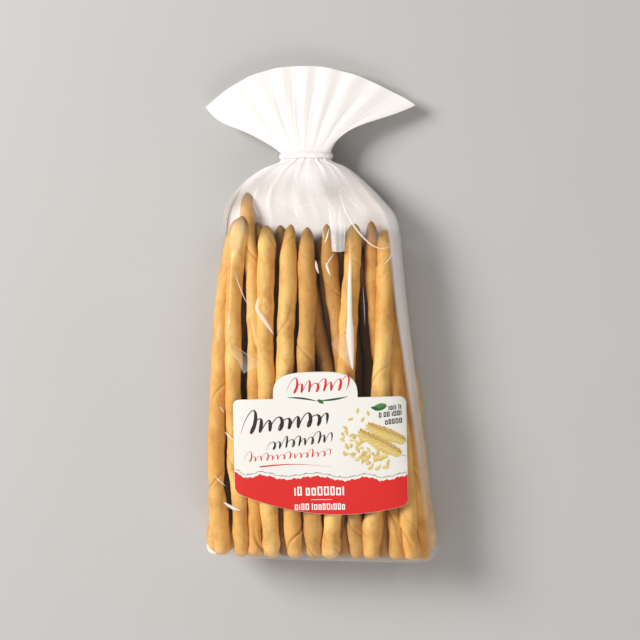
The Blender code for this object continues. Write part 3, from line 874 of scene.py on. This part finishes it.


# ==== The creases ====================================================================================
# Fine sharp folds that handling has left in the film, white where they are pressed hardest. The white
#  is partly stress whitening and partly painted glints, and on the widest creases it is painted highlight.
#  Flat places between some of them are pale with a painted reflection. They stand just proud of the film.

# The places that each crease runs through, its greatest width, and how white it is: partly stress
#  whitening, partly painted glint.
CREASES = (
    (((13, 233), (19, 217), (26, 206), (31, 200.5), (35, 197), (41, 194.6), (48.5, 196.5)), 1.15, 0.9),
    (((48.8, 195.5), (46, 188.5), (42, 184)), 1.1, 0.8),
    (((13, 233), (27, 220), (33, 215.5)), 0.9, 0.5),
    (((21.4, 207), (21.7, 185), (21.8, 176)), 0.7, 0.3),
    (((21.6, 190), (21.7, 165), (22.0, 146), (24.0, 119)), 3.0, 0.9),
    (((21.8, 158), (22.4, 136), (24.0, 119)), 4.8, 0.85),
    (((-53.2, 181), (-49, 170), (-43.6, 160), (-41.5, 159)), 0.7, 0.6),
    (((-44.4, 159), (-39.5, 142), (-34, 122)), 0.5, 0.35),
    (((-36.8, 164), (-38, 158), (-33, 150), (-27, 141)), 3.0, 0.6),
    (((-62, 95), (-59, 91)), 0.9, 0.5),
    (((-58.5, 79), (-52.5, 73.5)), 1.3, 0.6),
    (((-65.5, 50.6), (-57.6, 44.4)), 1.0, 0.45),
    (((-59, 34.2), (-53, 31), (-47.8, 29.4)), 2.2, 0.8),
    (((3.4, 209), (4.8, 201)), 0.6, 0.6),
    (((8, 207.5), (6.8, 202), (5, 198)), 1.0, 0.85),
    (((11.4, 191.6), (8, 186.5), (5.6, 182)), 0.8, 0.6),
    (((6.4, 186), (7.2, 183), (9, 178)), 1.6, 0.9),
    (((-0.2, 187.4), (0.6, 182.5), (1.9, 179)), 1.7, 0.8),
    (((-30, 229.7), (-21.7, 224.4), (-15, 220.6), (-9, 221.6), (3, 224.7)), 1.0, 0.55),
    (((-13.8, 220.4), (-11, 214.4)), 3.0, 0.6),
    (((-42, 232), (-41.3, 224), (-37.5, 215)), 0.6, 0.35),
    (((-53, 134), (-44, 128), (-34, 121.7)), 0.5, 0.4),
    (((10, 134), (19, 144), (23.5, 119.5)), 0.5, 0.35),
    (((30, 171), (31, 158), (31.5, 146)), 0.7, 0.3),
    (((-71.5, 7), (-69, 3), (-64, 1.5)), 2.4, 0.75),
    (((9.3, 214), (10.6, 204), (12.4, 193.4)), 0.6, 0.5),
    (((18.3, 212), (18.0, 202), (17.2, 193.6)), 0.5, 0.45),
    (((9.9, 193.2), (13.5, 192.8), (18.2, 193.2)), 0.5, 0.6),
)
CREASE_STEPS, CREASE_COLUMNS, CREASE_LIFT = 26, 5, 0.22
FACET_ROWS, FACET_COLUMNS = 16, 12

# The three corners of each flat place, and how pale it is: the paleness is a painted reflection of a soft
# light.
FACETS = (
    ((-57.0, 136.0), (-35.0, 121.5), (-46.0, 116.0), 0.22),
    ((10.1, 135.0), (19.5, 141.5), (23.4, 119.5), 0.28),
    ((-58.5, 158.0), (-54.8, 152.0), (-57.5, 139.0), 0.22),
    ((13.0, 231.0), (30.0, 201.0), (46.0, 196.0), 0.12),
)


def crease(places, width):
    """A fine ridge along a smooth line on the film: widest in the middle, pointed at its ends, and
    raised along its centre like a roof."""
    places = np.array(places, dtype=float)
    chord = np.concatenate(([0.0], np.cumsum(np.hypot(*np.diff(places, axis=0).T))))
    s = np.linspace(0.0, chord[-1], CREASE_STEPS)
    if len(places) > 2:
        x, y = smooth_curve(s, chord, places[:, 0]), smooth_curve(s, chord, places[:, 1])
    else:
        x, y = np.interp(s, chord, places[:, 0]), np.interp(s, chord, places[:, 1])
    dx, dy = np.gradient(x), np.gradient(y)
    size = np.hypot(dx, dy)
    half = 0.5 * width * np.sin(np.pi * np.linspace(0.02, 0.98, CREASE_STEPS)) ** 0.8
    across = np.linspace(1.0, -1.0, CREASE_COLUMNS)[None, :]
    px = x[:, None] - (dy / size * half)[:, None] * across
    py = y[:, None] + (dx / size * half)[:, None] * across
    peak = 0.3 * half[:, None] * (1.0 - np.abs(across))
    pz = film_height(px, np.clip(py, 7.0, NECK_END)) + CREASE_LIFT + peak
    return np.stack((px, py, pz), axis=-1).reshape(-1, 3), across + 0.0 * px


def facet(first, second, third):
    """A three-sided flat place spread out from its first corner, a little arched across. Also gives how
    far along and across it each point is."""
    along = np.linspace(0.02, 1.0, FACET_ROWS)[:, None]
    across = np.linspace(0.0, 1.0, FACET_COLUMNS)[None, :]
    px, py = (a * (1 - along) + along * (b * (1 - across) + c * across)
              for a, b, c in zip(first, second, third))
    lift = 0.18 + 0.35 * np.sin(np.pi * across) * along
    return np.stack((px, py, film_height(px, py) + lift), axis=-1).reshape(-1, 3), along, across


crease_shapes, crease_white_and_glints = [], []
# Each crease is whitened along its middle: partly stress whitening, partly painted glint.
for places, width, white in CREASES:
    points, across = crease(places, width)
    crease_shapes.append((points, grid_faces(CREASE_STEPS, CREASE_COLUMNS)))
    crease_white_and_glints.append((white * (1.0 - 0.5 * np.abs(across) ** 2)).ravel())
for *corners, white in FACETS:
    points, along, across = facet(*corners)
    crease_shapes.append((points, grid_faces(FACET_ROWS, FACET_COLUMNS)))
    # Painted reflection: paler towards one side and away from the first corner.
    crease_white_and_glints.append((white * (0.35 + 0.65 * across) * (0.3 + 0.7 * along)).ravel())
crease_points, crease_faces = joined(crease_shapes)
crease_marks = {"haze": np.concatenate(crease_white_and_glints)}
add_piece("film_creases_and_glints", crease_points, crease_faces, film, (), crease_marks)


# ==== The label ======================================================================================
# A die-cut sheet of coated paper, stuck on the front: off-white above, with a torn-paper edge and a red
# field below. It is printed with generic strokes, ears of wheat, loose grains and a green leaf.

LABEL_MIDDLE = (3.2, 70.0)
LABEL_TURN = np.radians(1.7)
LABEL_HALF_WIDTH = 55.0
LABEL_GAP, LABEL_THICKNESS = 0.45, 0.4
LABEL_TOP, LABEL_BOTTOM = 31.0, -32.0
TAB_MIDDLE, TAB_HALF, TAB_HEIGHT, TAB_POWER = -1.8, 27.0, 16.4, 3.2
LABEL_CORNER = 4.0
LABEL_BELLY, LABEL_SKEW = 9.4, 4.4


def corner_drop(u):
    """How far a rounded corner has fallen from the label's straight edge."""
    inside = np.clip((np.abs(u) - LABEL_HALF_WIDTH) / LABEL_CORNER + 1.0, 0.0, 1.0)
    return LABEL_CORNER * (1.0 - np.sqrt(1.0 - inside ** 2))


def label_top(u):
    """The label's upper edge: level, with rounded corners and a raised, gently arched tab."""
    tab = rounded(np.clip((u - TAB_MIDDLE) / TAB_HALF, -1, 1), TAB_POWER)
    return LABEL_TOP + TAB_HEIGHT * tab - corner_drop(u)


def label_bottom(u):
    """The label's lower edge: a shallow bow, a little lower on the right, with rounded corners."""
    bow = LABEL_BELLY * (1.0 - (u / LABEL_HALF_WIDTH) ** 2)
    return LABEL_BOTTOM - bow - LABEL_SKEW * u / LABEL_HALF_WIDTH + corner_drop(u)


def on_label(u, v, lift):
    """Places on the label, measured from its middle, as points over the front of the bag."""
    x = LABEL_MIDDLE[0] + u * np.cos(LABEL_TURN) - v * np.sin(LABEL_TURN)
    y = LABEL_MIDDLE[1] + u * np.sin(LABEL_TURN) + v * np.cos(LABEL_TURN)
    return np.stack((x, y, front_height(x, y) + LABEL_GAP + lift), axis=-1)


def label_sheet():
    """A closed thin sheet: a grid over its outline, the same grid a thickness lower, and a rim."""
    corner = LABEL_CORNER * (1.0 - np.sin(np.radians(np.linspace(0.0, 90.0, 12))))
    turn = LABEL_HALF_WIDTH - corner
    shoulder = TAB_HALF * (1.0 - 0.5 * np.linspace(0.0, 1.0, 22) ** 3)
    even = np.linspace(-LABEL_HALF_WIDTH + LABEL_CORNER, LABEL_HALF_WIDTH - LABEL_CORNER, 90)
    tab_sides = (TAB_MIDDLE + shoulder, TAB_MIDDLE - shoulder)
    u = np.unique(np.concatenate((even, turn, -turn, *tab_sides)).round(4))
    t = np.linspace(0.0, 1.0, 60)[:, None]
    v = label_bottom(u) * (1 - t) + label_top(u) * t
    u = u + 0.0 * v
    rows, columns = v.shape
    under, over = on_label(u, v, 0.0), on_label(u, v, LABEL_THICKNESS)
    points = np.concatenate((under.reshape(-1, 3), over.reshape(-1, 3)))
    flat = grid_faces(rows, columns)
    number = np.arange(rows * columns).reshape(rows, columns)
    rim = np.concatenate((number[0], number[1:, -1], number[-1, -2::-1], number[-2:0:-1, 0]))
    after = np.roll(rim, -1)
    half = rows * columns
    walls = np.stack((rim, after, after + half, rim + half), axis=1)
    return points, np.concatenate((flat[:, ::-1], flat + half, walls))


PAPER_WHITE, PAPER_PALE = (0.83, 0.815, 0.765), (0.86, 0.845, 0.80)


def paper_finish():
    """Coated label paper: warm white, hardly mottled, with a satin surface and very fine fibre."""
    paper = Finish("coated label paper")
    fibre = paper.grain(2200.0, 3.0, 0.6)
    cloud = paper.ranged(paper.grain(35.0, 2.0, 0.5), 0.3, 0.7)
    return paper.solid(Coat_Weight=0.25, Coat_Roughness=0.18, Normal=paper.bump(fibre, 0.15, 0.0002),
                       Base_Color=paper.blend(cloud, PAPER_WHITE, PAPER_PALE),
                       Roughness=paper.ranged(fibre, 0.3, 0.7, 0.38, 0.5))


def ink_finish(name, thin, full):
    """Printing ink: between a thin and a full colour by the ink mark, with a faint print grain."""
    ink = Finish(name)
    fine = ink.grain(1800.0, 2.0, 0.6)
    share = ink.math("ADD", ink.mark("ink"), ink.ranged(fine, 0.3, 0.7, -0.06, 0.06))
    return ink.solid(Coat_Weight=0.12, Coat_Roughness=0.15, Base_Color=ink.blend(share, thin, full),
                     Roughness=ink.ranged(fine, 0.3, 0.7, 0.34, 0.44))


PRINT_LIFT = LABEL_THICKNESS + 0.05
OVERPRINT_LIFT = PRINT_LIFT + 0.06


def stroke(u, v, width, lift=PRINT_LIFT, ink=1.0):
    """A printed line of changing width along a path, as a strip three points across."""
    du, dv = np.gradient(u), np.gradient(v)
    size = np.hypot(du, dv) + 1e-9
    across = np.linspace(0.5, -0.5, 3)[None, :]
    su = u[:, None] - (dv / size * width)[:, None] * across
    sv = v[:, None] + (du / size * width)[:, None] * across
    points = on_label(su, sv, lift).reshape(-1, 3)
    return points, grid_faces(len(u), 3), np.full(len(points), ink)


def field(u, low, high, rows, lift=PRINT_LIFT, ink=1.0):
    """A printed field between a lower and an upper edge."""
    t = np.linspace(0.0, 1.0, rows)[:, None]
    v = low * (1 - t) + high * t
    points = on_label(u + 0.0 * v, v, lift).reshape(-1, 3)
    return points, grid_faces(rows, len(u)), np.full(len(points), ink)


def petal(u, v, length, width, turn, point=1.0, lift=PRINT_LIFT, ink=(0.2, 0.8)):
    """A grain, leaf or petal: an oval, pointed at its ends if point is over 1, paler on its upper side."""
    t = np.linspace(-0.995, 0.995, 13)
    w = np.linspace(-1.0, 1.0, 5)[:, None]
    a = 0.5 * length * t + 0.0 * w
    b = 0.5 * width * w * np.clip(1.0 - np.abs(t) ** 2, 0.0, 1.0) ** (0.5 * point)
    su = u + a * np.cos(turn) - b * np.sin(turn)
    sv = v + a * np.sin(turn) + b * np.cos(turn)
    shade = ink[0] + (ink[1] - ink[0]) * (0.5 - 0.5 * w) + 0.0 * a
    return on_label(su, sv, lift).reshape(-1, 3), grid_faces(5, 13), shade.ravel()


def add_print(name, shapes, finish):
    """All shapes printed in one ink as one piece."""
    points, faces = joined([shape[:2] for shape in shapes])
    marks = {"ink": np.concatenate([shape[2] for shape in shapes])}
    add_piece(name, points, faces, finish, ("label",), marks)


label_points, label_faces = label_sheet()
add_piece("label_sheet", label_points, label_faces, paper_finish(), ("label",))

# The torn edge, from left to right along the label, with a fine ragged edge added.
TEAR = np.array([(-55, -14.6), (-46, -18.4), (-38, -16.6), (-22, -19.6), (-2, -17.8), (16, -20.8),
                 (30, -18.6), (39, -21.0), (55, -17.8)], dtype=float)


def ragged(u, size, phase):
    """Small uneven steps along a torn edge: a sum of sines of unrelated lengths."""
    total = 0.0 * u
    for wave, share in ((7.3, 0.5), (3.1, 0.3), (1.7, 0.22), (0.9, 0.12)):
        total = total + share * np.sin(ROUND * u / wave + phase * wave)
    return size * total


def tear(u):
    """The upper edge of the red field."""
    return smooth_curve(u, TEAR[:, 0], TEAR[:, 1]) + ragged(u, 0.7, 1.3)


band_u = np.linspace(-LABEL_HALF_WIDTH + 0.15, LABEL_HALF_WIDTH - 0.15, 420)
band_u = LABEL_HALF_WIDTH * np.sin(0.5 * np.pi * np.linspace(-1, 1, 420)) * 0.35 + 0.65 * band_u
band_u = band_u * (LABEL_HALF_WIDTH - 0.12) / np.abs(band_u).max()
red_field = field(band_u, label_bottom(band_u) + 0.15, tear(band_u), 22, ink=0.6)


def script(start, length, rise, heights, weight):
    """A generic handwritten line with no letters in it: leaning pen loops that rise along a slope, as
    tall as heights says, heavy on the way down and light on the way up."""
    waves = len(heights)
    phase = np.linspace(0.0, ROUND * waves, waves * 26)
    turn = phase / ROUND
    tall = smooth_curve(turn, np.arange(waves) + 0.5, np.array(heights, dtype=float))
    swing = 1.3 * (1.0 + 0.7 * np.sin(1.9 * turn + 0.4))
    up = 0.5 * tall * (1.0 - np.cos(phase))
    period = length / waves
    u = start[0] + period * turn - swing * period / ROUND * np.sin(phase) + 0.36 * up
    v = start[1] + rise * turn / waves + up
    falling = np.clip(np.sin(phase + np.pi), 0.0, 1.0) ** 0.8
    ends = np.clip(np.minimum(turn, waves - turn) * 2.5, 0.2, 1.0)
    return stroke(u, v, weight * (0.24 + 0.76 * falling) * ends)


def word_marks(start, end, v, height, seed, slope=0.0):
    """A line of small upright frames and bars of uneven width, in place of a printed line of words."""
    draw = np.random.default_rng(seed)
    line = 0.17 * height
    shapes = []
    u = start
    while u < end - 0.3 * height:
        wide = draw.choice([0.17, 0.48, 0.52, 0.56]) * height
        if u + wide > end:
            break
        low = v + slope * (u - start)
        high = low + height * draw.choice([0.86, 1.0, 1.0])
        bars = [(u, u + line, low, high)]
        if wide > 2 * line:
            inner = (u + line, u + wide - line)
            bars += [(u + wide - line, u + wide, low, high), (*inner, high - line, high),
                     (*inner, low, low + line)]
        for left, right, under, over in bars:
            shapes.append(field(np.linspace(left, right, 3), under, over, 3, OVERPRINT_LIFT))
        u += wide + (0.17 if draw.random() > 0.12 else 0.45) * height
    return shapes


# Heights of the pen loops in each handwritten line, from left to right.
TAB_LOOPS = (9.5, 5.6, 7.4, 5.4, 8.0, 5.6, 7.2, 8.8)
TITLE_LOOPS = (15.0, 9.0, 7.2, 8.6, 7.0, 7.4, 9.0, 7.0, 7.4)
SECOND_LOOPS = (5.0, 4.6, 7.6, 4.8, 6.6, 4.6, 4.8, 7.8, 5.0, 6.0)
THIRD_LOOPS = (6.5, 3.0, 3.2, 4.8, 3.0, 3.2, 3.0, 4.6, 3.0, 3.2, 3.0, 5.2, 3.0, 3.2, 4.4)

t = np.linspace(0.0, 1.0, 60)
swoosh = np.sin(np.pi * t)
underline_width = 0.9 * np.sin(np.pi * t ** 0.35) ** 1.2 * (1.0 - 0.75 * t) + 0.08
red_shapes = [
    red_field,
    script((-20.0, 34.2), 38.0, 1.5, TAB_LOOPS, 1.5),
    script((-48.5, -8.4), 55.0, 3.2, THIRD_LOOPS, 0.85),
    stroke(-39.0 + 46.0 * t, -11.6 + 1.6 * swoosh - 0.4 * t, underline_width),
]
dark_shapes = [
    script((-50.0, 8.8), 55.5, 5.6, TITLE_LOOPS, 2.4),
    script((-33.5, -1.2), 41.0, 4.8, SECOND_LOOPS, 1.3),
    stroke(-19.5 + 19.0 * t, 31.6 - 2.6 * t ** 2, 0.2 + 0.9 * swoosh),
]
for row, (left, level) in enumerate(((44.3, 22.4), (38.2, 18.0), (42.0, 13.6))):
    dark_shapes += word_marks(left, 52.6, level, 3.1, 30 + row, slope=0.1)
green_shapes = [
    petal(39.0, 24.6, 9.0, 4.4, 0.25, 1.3, ink=(0.15, 1.0)),
    petal(35.8, 24.0, 5.0, 2.0, -0.2, 1.3, ink=(0.8, 1.0)),
    stroke(1.0 + 18.0 * t, 29.4 + 2.2 * t ** 2, 0.2 + 1.1 * swoosh),
    petal(1.6, 28.8, 4.6, 2.2, -0.5, 1.2, ink=(0.5, 1.0)),
]
white_shapes = word_marks(-16.5, 17.5, -29.8, 5.6, 11) + word_marks(-16.5, 17.5, -38.8, 4.0, 12)
white_shapes.append(stroke(-5.8 + 13.0 * t, -32.4 + 0.0 * t, 0.35 + 0.0 * t, OVERPRINT_LIFT))
tear_u = np.linspace(-54.6, 54.6, 500)
tear_gap = 2.0 + ragged(tear_u, 0.5, 2.1)
tear_ink = 0.35 + 0.65 * np.clip(ragged(tear_u, 1.3, 0.4), 0.0, 1.0)
tear_line = smooth_curve(tear_u, TEAR[:, 0], TEAR[:, 1])
grey_shapes = [stroke(tear_u, tear_line + tear_gap, 0.18 + 0.42 * tear_ink)]


def wheat_ear(start, end, width, seed):
    """An ear of wheat seen from the side: grains in threes along a line from its foot to its tip, one to
    each side and one in the middle, overlapping like tiles, smaller towards both ends and most at the tip."""
    draw = np.random.default_rng(seed)
    start, end = np.array(start), np.array(end)
    along = (end - start) / np.hypot(*(end - start))
    side = np.array([-along[1], along[0]])
    turn = np.arctan2(along[1], along[0])
    shapes = []
    for k, t in enumerate(np.linspace(0.06, 0.94, 10)):
        size = width * (1.0 - 0.45 * abs(t - 0.42) ** 1.3 * 2.0)
        for way, ink in ((-1.0, (0.45, 1.0)), (0.0, (0.1, 0.65)), (1.0, (0.0, 0.5))):
            shift = way * 0.3 * size * side + (0.6 if way == 0 else 0.0) * along
            place = start + (end - start) * t + shift + draw.normal(0.0, 0.12, 2)
            leaning, lift = turn + way * 0.5 + np.pi, PRINT_LIFT + 0.012 * (k + 1)
            shapes.append(petal(*place, 0.78 * size, 0.36 * size, leaning, 1.2, lift, ink))
    return shapes


gold_shapes = []
scatter = np.random.default_rng(17)
for k in range(66):
    angle = scatter.uniform(2.6, 5.3)
    far = scatter.uniform(0.35, 1.0)
    u, v = 36.0 + 22.0 * far * np.cos(angle), 3.0 + 17.0 * far * np.sin(angle)
    tint = scatter.uniform(0.0, 0.35)
    gold_shapes.append(petal(u, v, scatter.uniform(2.0, 4.6), scatter.uniform(1.3, 2.4),
                             scatter.uniform(0, np.pi), 1.1, PRINT_LIFT + 0.003 * k, (tint, tint + 0.3)))
STRAY_GRAINS = ((20.5, 17.5, 0.3), (25.0, 22.5, 1.4), (28.0, 17.0, 1.0), (31.5, 20.8, 1.9), (17.0, 12.0, 2.6))
for u, v, turn in STRAY_GRAINS:
    gold_shapes.append(petal(u, v, 3.6, 1.8, turn, 1.3, ink=(0.2, 0.6)))
gold_shapes += wheat_ear((53.5, 3.0), (30.5, 13.4), 7.6, 1)
gold_shapes += wheat_ear((51.0, -5.0), (25.0, 9.6), 7.8, 2)
gold_shapes.append(stroke(53.0 + 2.0 * t, 3.2 - 0.3 * t, 0.5 + 0.0 * t, ink=0.6))
gold_shapes.append(stroke(50.8 + 3.6 * t, -5.0 - 1.2 * t, 0.5 + 0.0 * t, ink=0.6))

# Each ink: its shapes, and its colour where it is thin and where it is full.
INKS = {
    "red": (red_shapes, (0.76, 0.028, 0.022), (0.66, 0.012, 0.010)),
    "dark": (dark_shapes, (0.10, 0.06, 0.045), (0.025, 0.016, 0.013)),
    "green": (green_shapes, (0.12, 0.36, 0.08), (0.012, 0.085, 0.025)),
    "white": (white_shapes, (0.90, 0.88, 0.85), (0.93, 0.91, 0.88)),
    "gold": (gold_shapes, (0.88, 0.72, 0.26), (0.40, 0.19, 0.035)),
    "grey": (grey_shapes, (0.62, 0.58, 0.52), (0.26, 0.23, 0.20)),
}
for ink, (shapes, thin, full) in INKS.items():
    add_print("label_" + ink, shapes, ink_finish(ink + " ink", thin, full))


# ==== The neck band ==================================================================================
# A narrow strip of soft white plastic wound round the gathered neck and pulled tight, slightly rippled
# by the pleats under it.

BAND_WIDTH, BAND_THICKNESS, BAND_GAP = 2.8, 0.5, 0.35
BAND_WHITE, BAND_PALE = (0.93, 0.89, 0.87), (0.96, 0.93, 0.915)


def band_ring():
    """An oval hoop: a rounded rectangular profile carried round the neck's oval section, with small
    ripples where it crosses the pleats."""
    middle, half_width, back, front = BODY_SECTIONS[-1, 1:]
    seam = back + SEAM_HEIGHT * (front - back)
    turn = np.linspace(0.0, ROUND, 160, endpoint=False)[:, None]
    power = 2.0 / NECK_POWER
    q = np.sign(np.cos(turn)) * np.abs(np.cos(turn)) ** power
    edge = np.sign(np.sin(turn)) * np.abs(np.sin(turn)) ** power
    profile = np.linspace(0.0, ROUND, 20, endpoint=False)[None, :]
    square = (np.abs(np.cos(profile)) ** 5 + np.abs(np.sin(profile)) ** 5) ** -0.2
    wide = 0.5 * BAND_WIDTH * square * np.cos(profile)
    out = BAND_GAP + 0.5 * BAND_THICKNESS * (1.0 + square * np.sin(profile))
    out = out + 0.12 * np.sin(17.0 * turn) * np.cos(profile * 0.5) ** 2
    x = middle + (half_width + out) * q
    rise = np.where(edge > 0, front - seam, seam - back + FLOOR_PRESS) + out
    z = seam + rise * edge
    y = 0.5 * (NECK_START + NECK_END) + wide + 0.12 * np.sin(9.0 * turn) + 0.0 * x
    return np.stack((x, y, z), axis=-1)


def band_finish():
    """Soft white plastic strip: satin, with fine lines round the neck."""
    strip = Finish("soft white strip")
    lines = strip.grain(260.0, 2.0, 0.5, (0.15, 3.0, 0.15))
    return strip.solid(Coat_Weight=0.3, Coat_Roughness=0.2, Normal=strip.bump(lines, 0.25, 0.0003),
                       Base_Color=strip.blend(lines, BAND_WHITE, BAND_PALE),
                       Roughness=strip.ranged(lines, 0.3, 0.7, 0.32, 0.46))


ring = band_ring()
ring_rows, ring_sides = ring.shape[:2]
ring_faces = (grid_faces(ring_rows + 1, ring_sides, closed=True) % (ring_rows * ring_sides))[:, ::-1]
add_piece("neck_strip", ring.reshape(-1, 3), ring_faces, band_finish(), ("neck_band",))


# ==== Floor, light and camera ========================================================================
# A pale floor, a soft key light from the upper left, a weak fill and a plain pale surround. The camera
# looks down on the label, leaning a little to the right of the pack.

FLOOR_GREY, FLOOR_PALE = (0.50, 0.495, 0.487), (0.525, 0.52, 0.512)
FLOOR_REACH, FLOOR_LEVEL = 3.0, -0.0001


def floor_finish():
    """Plain pale floor with hardly any unevenness."""
    plain = Finish("pale floor")
    colour = plain.blend(plain.grain(9.0, 3.0, 0.5), FLOOR_GREY, FLOOR_PALE)
    return plain.solid(Roughness=0.75, Base_Color=colour)


floor_mesh = bpy.data.meshes.new("floor")
floor_corners = [(FLOOR_REACH * x, FLOOR_REACH * y, FLOOR_LEVEL)
                 for x, y in ((-1, -1), (1, -1), (1, 1), (-1, 1))]
floor_mesh.from_pydata(floor_corners, [], [(0, 1, 2, 3)])
floor_mesh.materials.append(floor_finish())
floor = bpy.data.objects.new("floor", floor_mesh)
bpy.context.scene.collection.objects.link(floor)


LIGHT_DISTANCE = 2.2


def add_light(name, direction, size, power, colour):
    """A square soft light that looks at the pack from a direction."""
    lamp = bpy.data.lights.new(name, "AREA")
    lamp.size = size
    lamp.energy = power
    lamp.color = colour
    light = bpy.data.objects.new(name, lamp)
    towards = np.array(direction) / np.linalg.norm(direction)
    light.location = towards * LIGHT_DISTANCE
    light.rotation_euler = Vector(towards.tolist()).to_track_quat("Z", "Y").to_euler()
    bpy.context.scene.collection.objects.link(light)


add_light("key", (-0.70, 0.32, 0.64), 1.0, 49.0, (1.0, 0.985, 0.96))
add_light("fill", (0.35, -0.72, 0.6), 1.2, 15.0, (1.0, 0.97, 0.94))

world = bpy.data.worlds.new("studio")
world.use_nodes = True
surround = world.node_tree.nodes["Background"].inputs
surround["Color"].default_value = (1.0, 0.98, 0.965, 1.0)
surround["Strength"].default_value = 0.34
bpy.context.scene.world = world

VIEW_LEAN = np.radians(11.0)
VIEW_DISTANCE = 1.05
VIEW_FOCAL_LENGTH, VIEW_SENSOR = 92.3, 36.0
VIEW_TARGET = (0.0010, -0.0073, 0.024)
lens = bpy.data.cameras.new("view")
lens.lens = VIEW_FOCAL_LENGTH
lens.sensor_width = VIEW_SENSOR
camera = bpy.data.objects.new("view", lens)
camera.location = (VIEW_TARGET[0] + VIEW_DISTANCE * np.sin(VIEW_LEAN), VIEW_TARGET[1],
                   VIEW_TARGET[2] + VIEW_DISTANCE * np.cos(VIEW_LEAN))
camera.rotation_euler = (0.0, VIEW_LEAN, 0.0)
bpy.context.scene.collection.objects.link(camera)
bpy.context.scene.camera = camera
bpy.context.scene.view_settings.view_transform = "Standard"
